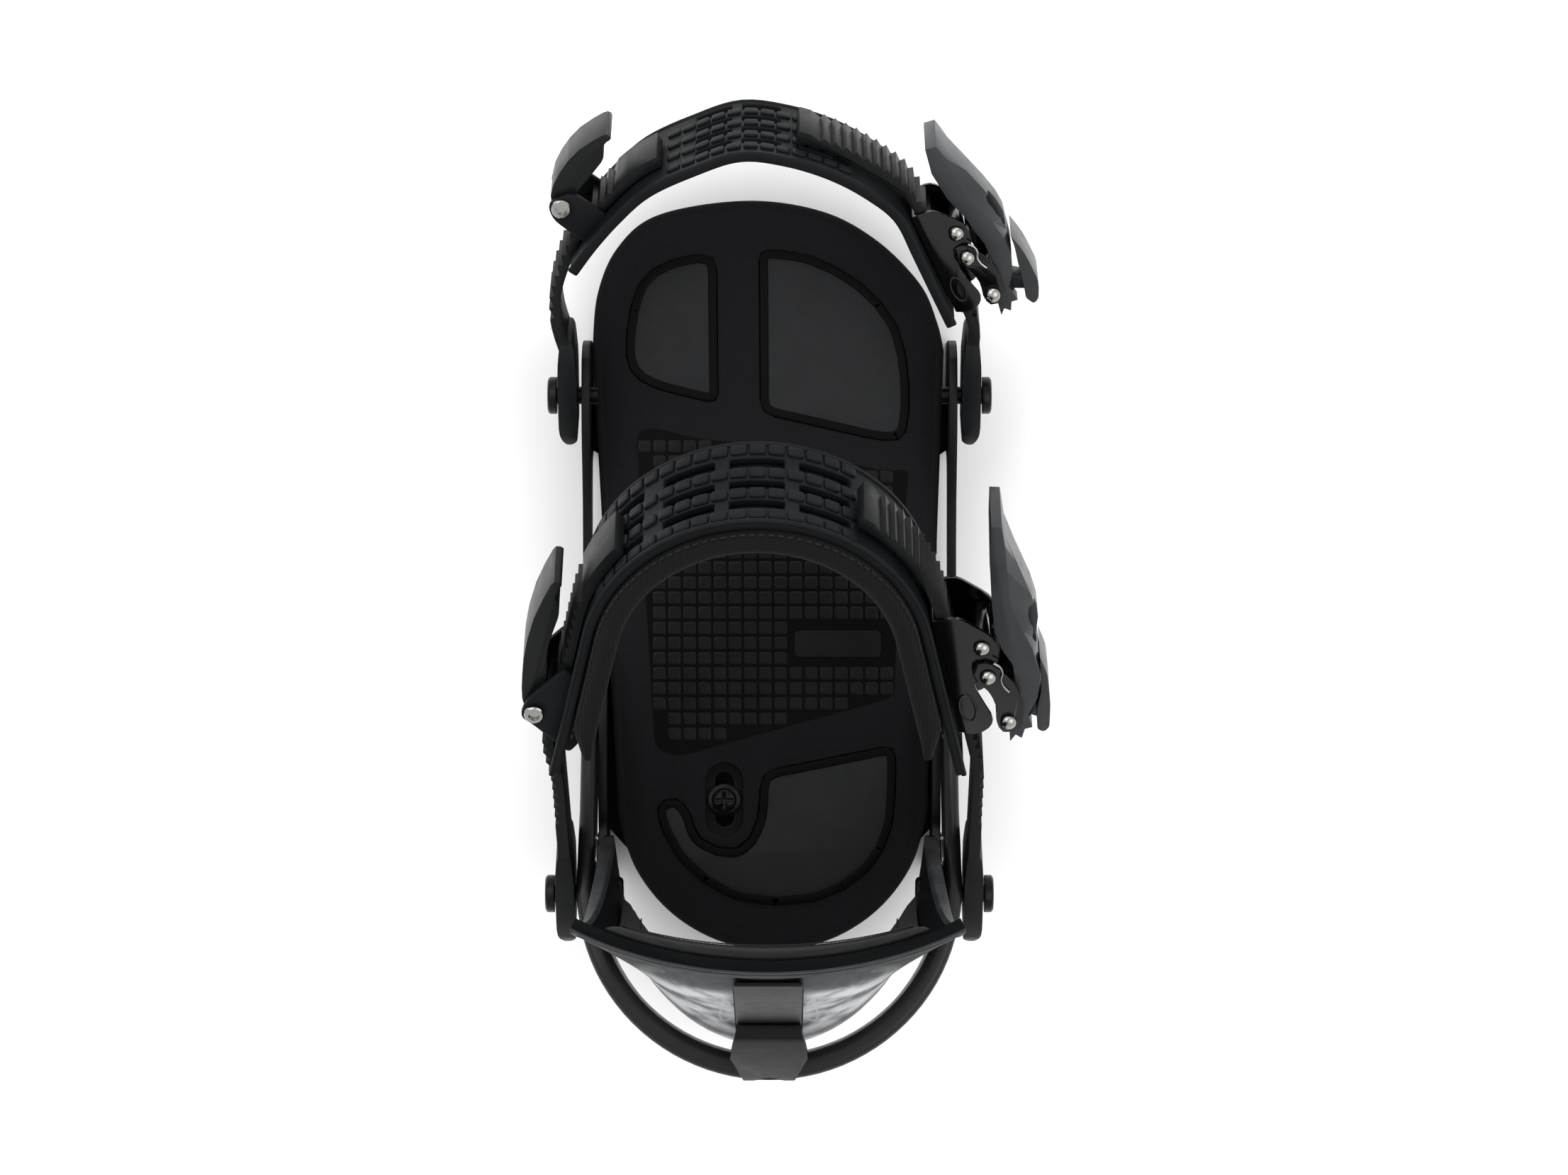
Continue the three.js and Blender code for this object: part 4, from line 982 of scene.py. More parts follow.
@dataclass
class Chassis:
    """The base plate with its disc, the heel hoop, and the bolts."""

    shop: Workshop
    outer: float = 60.4
    inner: float = 55.4
    heel_outer: float = 61.0
    heel_depth: float = 7.4
    centre: float = -84.9
    front: float = -10.2
    widening: float = 0.7
    bar: tuple[tuple[float, float, float], ...] = (
        (-10.2, 11.6, 29.6), (-16, 11.8, 32.4), (-30, 13.2, 38.0), (-44, 15.6, 43.8), (-58, 22.0, 52.0),
        (-70, 31.0, 60.0), (-84.9, 36.6, 66.8), (-98, 40.0, 69.4), (-112, 47.5, 71.4), (-126, 55.2, 71.8),
        (-160, 57.0, 71.8),
    )
    trim: tuple[tuple[float, float, float], ...] = ((-78, 41, 2), (-69, 37, 2), (-69, 56, 2), (-78, 60, 2))
    trim_depths: Point = (0.2, -1.1)
    hoop_screw: BoltHead = BoltHead(4.6, 2.0, 1.9, proud=0.25)
    strap_bolt: BoltHead = BoltHead(6.0, 3.0, 2.4, shank=16.0)
    pivot_bolt: BoltHead = BoltHead(5.3, 2.6, 2.3, shank=10.0)

    def build(self) -> None:
        """Builds every piece of the sub-assembly."""
        self.shop.refined("baseplate", "base", "chassis_plastic", Finish.CHASSIS, 0.7)
        self.shop.refined("mounting_disc", "disc", "disc_plastic", Finish.DISC, 0.5)
        for side, _ in SIDES:
            self.shop.refined(f"pivot_spacer_{side}", "base", "chassis_plastic", Finish.CHASSIS, 0.5)
        self.hoop()
        self.bolts()
        self.trims()

    def trims(self) -> None:
        """The bare metal strip on the inner face of each arm of the hoop."""
        outline = rounded(self.trim)
        for side, way in SIDES:
            faces = [way * (self.inner + depth) for depth in self.trim_depths]
            strip = loft(f"hoop_trim_{side}", [[Vector((x, y, z)) * MM for y, z in outline] for x in faces])
            soften(strip, 0.3)
            self.shop.settle(strip, "base", "rivet_nickel", Finish.NICKEL)

    def hoop(self) -> None:
        """The smooth bar that runs from both rails round the heel."""
        steps, turns = 16, 48
        half = self.heel_outer
        arm = [(self.front + (self.centre - self.front) * i / steps, i / steps) for i in range(steps)]
        wall = half - self.inner
        rings = [self.ring(self.arm_outer(share), y, 1, 0, self.inner, self.arm_outer(share))
                 for y, share in arm]
        for i in range(turns + 1):
            angle = -math.pi * i / turns
            c, s = math.cos(angle), math.sin(angle)
            thick = wall + (self.heel_depth - half + self.inner) * abs(s) ** 0.5
            rings.append(self.ring(c * half, self.centre + s * half, c, s, half - thick, half))
        rings += [self.ring(-self.arm_outer(share), y, -1, 0, self.inner, self.arm_outer(share))
                  for y, share in reversed(arm)]
        hoop = soften(loft("heel_hoop_bar", rings))
        self.shop.settle(hoop, "base", "hoop_plastic", Finish.HOOP, "heel_hoop")

    def arm_outer(self, share: float) -> float:
        """The outer face of an arm, which widens to the heel's over the last share of its length."""
        grown = max(0.0, share - self.widening) / (1 - self.widening)
        return self.outer + (self.heel_outer - self.outer) * grown

    def level(self, y: float, column: int) -> float:
        """The bar's lower edge (column 1) or upper edge (column 2) at a place along the foot.

        Args:
            y: The place.
            column: Which edge.

        Returns:
            The edge's height.
        """
        for a, b in zip(self.bar, self.bar[1:]):
            if b[0] <= y <= a[0]:
                return a[column] + (b[column] - a[column]) * (a[0] - y) / (a[0] - b[0])
        return self.bar[-1][column]

    def ring(self, x: float, y: float, nx: float, ny: float, inner: float, outer: float) -> list[Vector]:
        """One section of the bar.

        Args:
            x: The outer face's place across the foot.
            y: Its place along the foot.
            nx: The way out, across the foot.
            ny: The way out, along the foot.
            inner: The inner face's distance from the middle.
            outer: The outer face's distance from the middle.

        Returns:
            The section's points in metres.
        """
        radius = min(2.4, (outer - inner) * 0.46)
        shape = section(inner - outer, 0, self.level(y, 1), self.level(y, 2), radius, 5)
        return [Vector((x + nx * d, y + ny * d, z)) * MM for d, z in shape]

    def bolts(self) -> None:
        """Bolts and screws turned fine, with their sockets."""
        for place in ("front", "rear"):
            for side, way in SIDES:
                self.bolt(f"hoop_screw_{place}_{side}", way, self.hoop_screw)
        for strap in ("ankle", "toe"):
            for side, way in SIDES:
                self.bolt(f"{strap}_bolt_{side}", way, self.strap_bolt)
        for side, way in SIDES:
            self.bolt(f"highback_bolt_{side}", -way, self.pivot_bolt)

    def bolt(self, node: str, way: int, head: BoltHead) -> None:
        """A round-headed bolt in a node's place.

        Args:
            node: The node.
            way: 1 where its face looks to the rider's right, or -1.
            head: Its sizes.
        """
        low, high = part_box(node)
        centre = Vector((high.x if way > 0 else low.x, (low.y + high.y) / 2, (low.z + high.z) / 2))
        obj = soften(turned(f"{node}_turned", head.profile(), centre, Vector((way, 0, 0))))
        self.shop.settle(obj, "base", "bolt_steel", Finish.BOLT, node)


@dataclass
class Footbed:
    """The footbed with its grid of small cells, its smooth pads and its clamp screw."""

    shop: Workshop
    top: float = 25.0
    pitch: float = 4.9
    cell: float = 4.35
    cell_height: float = 0.8
    cell_squareness: float = 0.7
    cell_reach: float = 1.9
    # The heights of the near-black sheet under the cells, which paints the shade in the gaps between them.
    ground: Point = (-0.4, 0.1)
    ground_corner: float = 3.0
    # The section of the near-black ring round each pad, which is painted shade for the pad's groove.
    lip: tuple[float, float, float, float, float] = (-2.4, 0.3, -0.5, 0.45, 0.4)
    edge: tuple[float, float, float, float, float] = (-2.6, 0.3, -5.5, 0.2, 1.1)
    edge_steps: int = 6
    border_step: float = 1.2
    plain: tuple[Point, Point] = ((8.0, -13.2), (36.0, -4.4))
    plain_heights: Point = (-0.4, 0.45)
    plain_margin: float = 2.0
    patches: tuple[tuple[Point, ...], ...] = (
        ((-43.0, 59.0), (-40.5, 60.9), (-35.7, 60.9), (-24.7, 57.9), (2.0, 55.0), (38.0, 47.0), (45.0, 48.0),
         (41.3, 4.7), (40.2, -26.0), (-30.0, -45.3), (-37.1, -42.3)),
    )

    def build(self) -> None:
        """Builds every piece of the sub-assembly."""
        self.shop.refined("footbed", "footbed_unit", "footbed_foam", Finish.BED, 1.1, 3)
        for node in ("toe_pad_left", "toe_pad_right", "heel_pad"):
            self.shop.refined(node, "footbed_unit", "grip_rubber", Finish.GRIP, 0.55, 3)
            # A near-black ring round each pad paints the shade in the groove round it.
            self.border(f"{node}_lip", node, "grip_rubber", Finish.PAINTED_GROOVE_SHADE, section(*self.lip))
        self.border("footbed_edge", "footbed", "footbed_foam", Finish.BED,
                    section(*self.edge, self.edge_steps))
        self.cells()
        self.plate()
        self.shop.refined("footbed_washer", "base", "bolt_steel", Finish.BOLT, 0.2)
        self.shop.refined("footbed_screw", "base", "bolt_steel", Finish.BOLT, 0.2)

    def border(self, name: str, node: str, slot: str, finish: Finish, shape: Sequence[Point]) -> None:
        """A smooth edge round the top face of a node.

        Args:
            name: The piece's name.
            node: The node.
            slot: The record's material slot.
            finish: Its finish.
            shape: The section's (distance out, height above the face) points.
        """
        work = bmesh.new()
        work.from_mesh(bpy.data.objects[node].data)
        bmesh.ops.remove_doubles(work, verts=work.verts, dist=MERGE)
        work.verts.index_update()
        top = max(v.co.z for v in work.verts)
        upper = [f for f in work.faces if min(v.co.z for v in f.verts) > top - 0.1 * MM]
        among = set(upper)
        following: dict[int, int] = {}
        for face in upper:
            for corner in face.loops:
                if not any(other in among and other is not face for other in corner.edge.link_faces):
                    following[corner.vert.index] = corner.link_loop_next.vert.index
        work.verts.ensure_lookup_table()
        line: list[Point] = []
        while following:
            here, found = next(iter(following)), []
            while here in following:
                found.append(tuple(c / MM for c in work.verts[here].co[:2]))
                here = following.pop(here)
            if perimeter(found) > perimeter(line):
                line = found
        work.free()
        rings = [[Vector((s.u - s.out[0] * d, s.v - s.out[1] * d, top / MM + h)) * MM for d, h in shape]
                 for s in stations(smooth_loop(line), self.border_step)[:-1]]
        lip = soften(loft(name, rings, closed=True))
        self.shop.settle(lip, "footbed_unit", slot, finish)

    def plate(self) -> None:
        """A plain smooth plate set among the cells."""
        (left, low), (right, high) = self.plain
        outline = rounded([(left, low, 2), (right, low, 2), (right, high, 2), (left, high, 2)])
        plate = self.sheet("footbed_plate", outline, self.plain_heights)
        soften(plate, 0.35, 3)
        self.shop.settle(plate, "footbed_unit", "footbed_foam", Finish.CELL)

    def sheet(self, name: str, outline: Sequence[Point], heights: Point) -> Piece:
        """A flat piece between two heights above the footbed's top face."""
        return loft(name, [[Vector((x, y, self.top + z)) * MM for x, y in outline] for z in heights])

    def cells(self) -> None:
        """Rounded squares in rows over the middle of the footbed, on a near-black ground that is painted
        shade in the gaps between them.
        """
        (left, low), (right, high) = self.plain
        margin, reach = self.plain_margin, (-self.cell_reach, self.cell_reach)
        seats = []
        for i, patch in enumerate(self.patches, 1):
            outline = rounded([(x, y, self.ground_corner) for x, y in patch])
            # The near-black sheet under the cells is painted shade for the gaps between them.
            ground = self.sheet(f"footbed_gap_shade_{i}", outline, self.ground)
            self.shop.settle(ground, "footbed_unit", "footbed_foam", Finish.PAINTED_GROOVE_SHADE)
        for patch in self.patches:
            low_x, high_x = min(p[0] for p in patch), max(p[0] for p in patch)
            low_y, high_y = min(p[1] for p in patch), max(p[1] for p in patch)
            y = low_y + self.pitch / 2
            while y < high_y:
                x = low_x + self.pitch / 2
                while x < high_x:
                    covered = left - margin < x < right + margin and low - margin < y < high + margin
                    if not covered and all(self.inside(patch, x + dx, y + dy) for dx in reach
                                           for dy in reach):
                        seats.append((Vector((x, y, self.top)) * MM, Vector((1, 0, 0)), Vector((0, 0, 1))))
                    x += self.pitch
                y += self.pitch
        self.shop.lay("footbed_cells", "footbed_unit", "footbed_foam", Finish.CELL, seats,
                      (self.cell, self.cell, self.cell_height), self.cell_squareness)

    @staticmethod
    def inside(patch: Sequence[Point], x: float, y: float) -> bool:
        """Tells whether a point lies in an outline.

        Args:
            patch: The outline.
            x: The point's place across the foot.
            y: The point's place along the foot.

        Returns:
            True inside.
        """
        found = False
        for (ax, ay), (bx, by) in zip(patch, (*patch[1:], patch[0])):
            if (ay > y) != (by > y) and x < ax + (y - ay) / (by - ay) * (bx - ax):
                found = not found
        return found


@dataclass
class Highback:
    """The folding back with its printed shell, ribs, liner and forward-lean stop.

    The shell is part of an ellipse at each height. The reach is how far its wings come forward of its heel,
    and the wrap is how far round the ellipse they come, in degrees. The crown is how far the top rim falls
    towards its ends.
    """

    shop: Workshop
    top: float = 224.0
    bottom: float = 46.0
    lean: float = 11.6
    heel_y: float = -137.4
    half: float = 52.6
    top_half: float = 57.0
    thick: float = 3.2
    pivot: Point = (-88.0, 52.0)
    top_reach: float = 12.0
    foot_reach: float = 58.0
    reach_fall: float = 1.7
    foot_wrap: float = 90.0
    top_wrap: float = 38.0
    crown: float = 9.0
    wing_drop: float = 11.0
    boss_radius: float = 9.9
    liner_gap: float = 0.7
    liner_thick: float = 5.4
    liner_share: float = 5 / 6
    seam_share: float = 0.9
    rim_ribs: tuple[Point, ...] = ((1.6, 0.7), (5.4, 0.9), (9.6, 0.7))
    stitch: tuple[float, float, float] = (1.7, 0.5, 0.4)

    def point(self, height: float, across: float, depth: float) -> Vector:
        """A point of the highback.

        Args:
            height: Its height above the board.
            across: Its place across, from -1 to 1.
            depth: How far in from the back skin it lies.

        Returns:
            The point in metres.
        """
        rise = (height - self.bottom) / (self.top - self.bottom)
        half = self.half + (self.top_half - self.half) * rise
        reach = self.top_reach + self.foot_reach * max(0.0, 1 - rise) ** self.reach_fall
        spread = math.radians(self.foot_wrap + (self.top_wrap - self.foot_wrap) * rise)
        angle = across * spread
        rx, ry = half / math.sin(spread), reach / (1 - math.cos(spread))
        nx, ny = -math.sin(angle) / rx, math.cos(angle) / ry
        size = math.hypot(nx, ny)
        x = rx * math.sin(angle) + nx / size * depth
        middle = self.heel_y + (height - self.bottom) * math.tan(math.radians(self.lean))
        y = middle + ry * (1 - math.cos(angle)) + ny / size * depth
        return Vector((x, y, height - self.crown * across ** 2 * rise ** 4)) * MM

    def plate(self, name: str, low: float, high: float, reach: float, outer: float,
              inner: Callable[[float, float], float], rows: int = 44, columns: int = 48) -> Piece:
        """A curved plate between two depths.

        Args:
            name: The piece's name.
            low: The height of its foot.
            high: The height of its top.
            reach: How far across it goes, up to 1.
            outer: The depth of its back face.
            inner: The depth of its front face at a place across and a share of the height.
            rows: Steps up.
            columns: Steps across.

        Returns:
            The plate as a closed skin.
        """
        def spot(r: int, c: int, depth: float) -> Vector:
            """The point in a row and column at a depth."""
            across = (2 * c / columns - 1) * reach
            return self.point(low + (high - low) * r / rows, across, depth)
        rings = []
        for r in range(rows + 1):
            share = r / rows
            back = [spot(r, c, outer) for c in range(columns + 1)]
            front = [spot(r, c, inner((2 * c / columns - 1) * reach, share))
                     for c in range(columns, -1, -1)]
            rings.append(back + front)
        return loft(name, rings)

    def build(self) -> None:
        """Builds every piece of the sub-assembly."""
        self.shell()
        self.liner()
        self.ribs()
        self.shop.refined("lean_track", "highback", "lean_plastic", Finish.LEAN, 0.4)
        self.shop.refined("lean_block", "lean_stop", "lean_plastic", Finish.LEAN, 0.9, 3)
        self.shop.refined("lean_screw", "lean_stop", "bolt_steel", Finish.BOLT, 0.3)

    def shell(self) -> None:
        """The printed shell, cut to the outline of its wings."""
        wing = self.pivot[1] - self.wing_drop
        shell = self.plate("highback_skin", wing - 0.5, self.top, 1.0, 0.0, lambda _, __: self.thick)
        back, ahead, above, aside = -160, -60, 260, 90
        heel = self.bottom + 4
        keep = rounded([(back, heel), (-116, heel, 8), (-102, wing, 8), (-76, wing, 9), (-68, 54, 8),
                        (ahead, 90), (ahead, above), (back, above)])
        cutter = loft("keep", [[Vector((x, y, z)) * MM for y, z in keep] for x in (-aside, aside)])
        self.cut(shell, cutter, "INTERSECT")
        y, z = self.pivot
        sunk, chamfer, radius = 0.05, 0.5, self.boss_radius
        profile = [(0, radius), (self.thick - chamfer, radius), (self.thick - sunk, radius - chamfer)]
        for _, way in SIDES:
            face = Vector((way * (self.half - self.thick + sunk), y, z)) * MM
            self.cut(shell, turned("boss", profile, face, Vector((way, 0, 0))), "UNION")
        soften(shell, 0.7, 2, limit=40)
        self.shop.settle(shell, "highback", "highback_print", Finish.PRINT, "highback_shell")

    @staticmethod
    def cut(obj: Piece, tool: Piece, operation: str) -> None:
        """Joins or cuts a mesh with another, which is then removed.

        Args:
            obj: The mesh that is changed.
            tool: The other mesh.
            operation: UNION or INTERSECT.
        """
        change = obj.modifiers.new("change", "BOOLEAN")
        change.operation = operation
        change.object = tool
        change.solver = "EXACT"
        bake(obj)
        bpy.data.objects.remove(tool)

    def liner(self) -> None:
        """The woven foam liner, with its stitched edge."""
        foot, margin = self.thick + self.liner_gap, self.liner_share
        seam = margin * self.seam_share
        low, high = self.pivot[1] + 13, self.top - 3

        def depth(across: float, share: float) -> float:
            """The depth of the liner's face, which falls away to its edges."""
            edge = min(1.0, 9 * min(share, 1 - share), 7 * (1 - abs(across) / margin))
            return foot + 0.5 + self.liner_thick * (1 - 0.5 * across ** 2) * max(edge, 0.0) ** 0.5
        liner = self.plate("highback_liner", low, high, margin, foot, depth, 64, 64)
        soften(liner)
        self.shop.settle(liner, "highback", "liner_fabric", Finish.LINER, "highback_pad")
        seats = []
        over, up = 70, 60
        for i in range(over):
            across = (i / (over - 1) * 2 - 1) * seam
            for height in (self.top - 9.0, self.top - 12.5):
                seats.append(self.seat(height, across, depth(across, 0.93) + 0.1, across=True))
        for i in range(up):
            height = self.pivot[1] + 22 + i / (up - 1) * (self.top - 34 - self.pivot[1])
            for side in (-1, 1):
                seats.append(self.seat(height, side * seam, depth(seam, 0.5) + 0.05, across=False))
        self.shop.lay("highback_stitches", "highback", "liner_fabric", Finish.THREAD, seats, self.stitch,
                      0.3)

    def seat(self, height: float, place: float, depth: float, across: bool) -> Seat:
        """The seat of a stitch on the liner's face.

        Args:
            height: Its height above the board.
            place: Its place across, from -1 to 1.
            depth: Its depth in from the back skin.
            across: True where it lies across the back, or False where it lies up it.

        Returns:
            The seat.
        """
        here = self.point(height, place, depth)
        along = self.point(height, place + 0.02, depth) - here
        up = self.point(height + 2, place, depth) - here
        return here, (along if across else up), up.cross(along)

    def ribs(self) -> None:
        """Three ribs round the top rim and a low rib down each side."""
        steps, sides, half = 60, 10, 1.5
        for i, (drop, proud) in enumerate(self.rim_ribs):
            rings = []
            for k in range(steps + 1):
                across = (k / steps * 2 - 1) * (0.985 - 0.03 * i)
                here = self.point(self.top - drop, across, 0)
                out = (self.point(self.top - drop, across, -1) - here) / MM
                rings.append([here + (out * (proud * math.cos(a)) + Vector((0, 0, half * math.sin(a)))) * MM
                              for a in (math.tau * j / sides for j in range(sides))])
            rib = soften(loft(f"rim_rib_{i + 1}", rings))
            self.shop.settle(rib, "highback", "highback_print", Finish.RIB)
        steps, near, far, out, into = 40, 0.975, 1.012, -0.6, self.thick + 0.5
        low, rise = self.bottom + 10, self.top - self.bottom - 16
        edge = [(near, out), (far, out), (far, into), (near, into)]
        for side, way in SIDES:
            rings = [[self.point(low + rise * k / steps, way * across, depth) for across, depth in edge]
                     for k in range(steps + 1)]
            rib = soften(loft(f"wing_rib_{side}", rings), 0.6, 3)
            self.shop.settle(rib, "highback", "highback_print", Finish.RIB)


@dataclass
class Buckle:
    """The ratchet buckle of one strap, with its rivets, spring and adjuster.

    The gap is half the width between its plates. The domed heads and the pin are (along, radius) points from
    the plate that they sit on, and the oval and the wire are drawn in the buckle's own plane, at scale 1.
    """

    shop: Workshop
    strap: str
    frame: StrapFrame
    place: Point
    turn: float
    scale: float
    gap: float = 10.15
    plate: float = 1.2
    play: float = 0.35
    dome: tuple[Point, ...] = ((-0.35, 1.6), (-0.3, 2.25), (0, 2.5), (0.35, 2.5), (0.9, 2.25), (1.45, 1.6),
                               (1.78, 0.8), (1.88, 0.05))
    pin_half: float = 12.7
    oval: Point = (-8.6, -11.6)
    oval_half: Point = (2.5, 5.2)
    oval_line: Point = (0.5, 0.32)
    wire: tuple[Point, ...] = ((2.6, 5.2), (4.2, 3.4), (4.6, 1.0), (3.6, -1.4), (3.9, -4.0), (5.2, -6.6))
    wire_radius: float = 0.4

    def spot(self, x: float, y: float) -> Point:
        """A place in the strap's frame.

        Args:
            x: The place along the buckle's own plane.
            y: The place up it.

        Returns:
            The (u, v) point.
        """
        turn = math.radians(self.turn)
        c, s = math.cos(turn), math.sin(turn)
        return (self.place[0] + x * c - y * s, self.place[1] + x * s + y * c)

    def build(self) -> None:
        """Builds every piece of the sub-assembly."""
        unit = f"{self.strap}_strap_unit"
        refined = self.shop.refined
        refined(f"{self.strap}_buckle_frame", unit, "buckle_steel", Finish.STEEL, 0.35, 3)
        for side in ("upper", "lower"):
            refined(f"{self.strap}_buckle_cheek_{side}", unit, "buckle_steel", Finish.STEEL, 0.4, 3)
        refined(f"{self.strap}_holding_pawl", f"{self.strap}_pawl", "buckle_steel", Finish.STEEL, 0.3)
        refined(f"{self.strap}_buckle_lever", f"{self.strap}_lever", "lever_cast", Finish.LEVER, 0.6, 3, 26.0)
        refined(f"{self.strap}_release_tab", f"{self.strap}_tab", "lever_cast", Finish.LEVER, 0.4, 3)
        refined(f"{self.strap}_adjuster_lever", f"{self.strap}_adjuster", "ladder_plastic",
                Finish.ADJUSTER, 0.9, 3)
        self.rivets(unit)
        self.emboss(unit)
        self.spring(unit)

    def rivets(self, unit: str) -> None:
        """Domed rivets through the frame and cheeks, and the adjuster's pin.

        Args:
            unit: The strap's body.
        """
        step = self.plate + self.play
        for node, seat in (("pawl_rivet", self.gap + step), ("cheek_rivet", self.gap + 2 * step),
                           ("lever_rivet", self.gap + 2 * step)):
            name = f"{self.strap}_{node}"
            half = [(seat + along, radius) for along, radius in self.dome]
            profile = [(-w, r) for w, r in reversed(half)] + half
            obj = soften(turned(f"{name}_domed", profile, centre_of(name), self.frame.across))
            self.shop.settle(obj, unit, "rivet_nickel", Finish.NICKEL, name)
        name = f"{self.strap}_adjuster_pin"
        out = self.pin_half
        profile = [(-out - 1.2, 2.0), (-out - 0.9, 2.6), (-out, 2.6), (-out, 1.5), (out, 1.5), (out, 3.1),
                   (out + 0.9, 3.1), (out + 1.3, 2.7), (out + 1.4, 1.7), (out + 0.5, 1.5)]
        pin = soften(turned(f"{name}_turned", profile, centre_of(name), self.frame.across))
        self.shop.settle(pin, unit, "rivet_nickel", Finish.NICKEL, name)

    def emboss(self, unit: str) -> None:
        """A raised oval pressed into each flange of the frame.

        Args:
            unit: The strap's body.
        """
        seat = self.gap + self.plate
        steps, sides = 40, 8
        half, proud = self.oval_line
        for flange, side in (("upper", 1), ("lower", -1)):
            rings = []
            for k in range(steps):
                a = math.tau * k / steps
                x = self.oval[0] + self.oval_half[0] * math.cos(a)
                y = self.oval[1] + self.oval_half[1] * math.sin(a)
                ring = []
                for j in range(sides):
                    b = math.tau * j / sides
                    u, v = self.spot((x + half * math.cos(b) * math.cos(a)) * self.scale,
                                     (y + half * math.cos(b) * math.sin(a)) * self.scale)
                    ring.append(self.frame.place(u, v, side * (seat + proud * math.sin(b))))
                rings.append(ring)
            oval = soften(loft(f"{self.strap}_frame_oval_{flange}", rings, closed=True))
            self.shop.settle(oval, unit, "buckle_steel", Finish.STEEL)

    def spring(self, unit: str) -> None:
        """The thin wire spring that stands beside the middle rivet.

        Args:
            unit: The strap's body.
        """
        radius, sides = self.wire_radius, 8
        w = self.gap + self.plate * 2 + 0.5 + radius
        line = stations(spline([(x * self.scale, y * self.scale) for x, y in self.wire]), 0.7)
        rings = []
        for s in line:
            ring = []
            for j in range(sides):
                b = math.tau * j / sides
                aside = radius * math.cos(b)
                u, v = self.spot(s.u + s.out[0] * aside, s.v + s.out[1] * aside)
                ring.append(self.frame.place(u, v, w + radius * math.sin(b)))
            rings.append(ring)
        obj = soften(loft(f"{self.strap}_spring_wire", rings))
        self.shop.settle(obj, unit, "rivet_nickel", Finish.SPRING)


@dataclass
class Ears:
    """The two ears that carry an adjuster's pin on a strap."""

    shop: Workshop
    strap: str
    frame: StrapFrame
    corners: tuple[tuple[float, ...], ...]
    low: float = 10.15
    thick: float = 2.2

    def build(self) -> None:
        """Builds both ears."""
        high = self.low + self.thick
        for side, ends in (("upper", (self.low, high)), ("lower", (-high, -self.low))):
            ear = self.frame.slab(f"{self.strap}_ear_{side}", rounded(self.corners), *ends)
            soften(ear, 0.6, 3)
            self.shop.settle(ear, f"{self.strap}_strap_unit", "strap_rubber", Finish.STRAP)


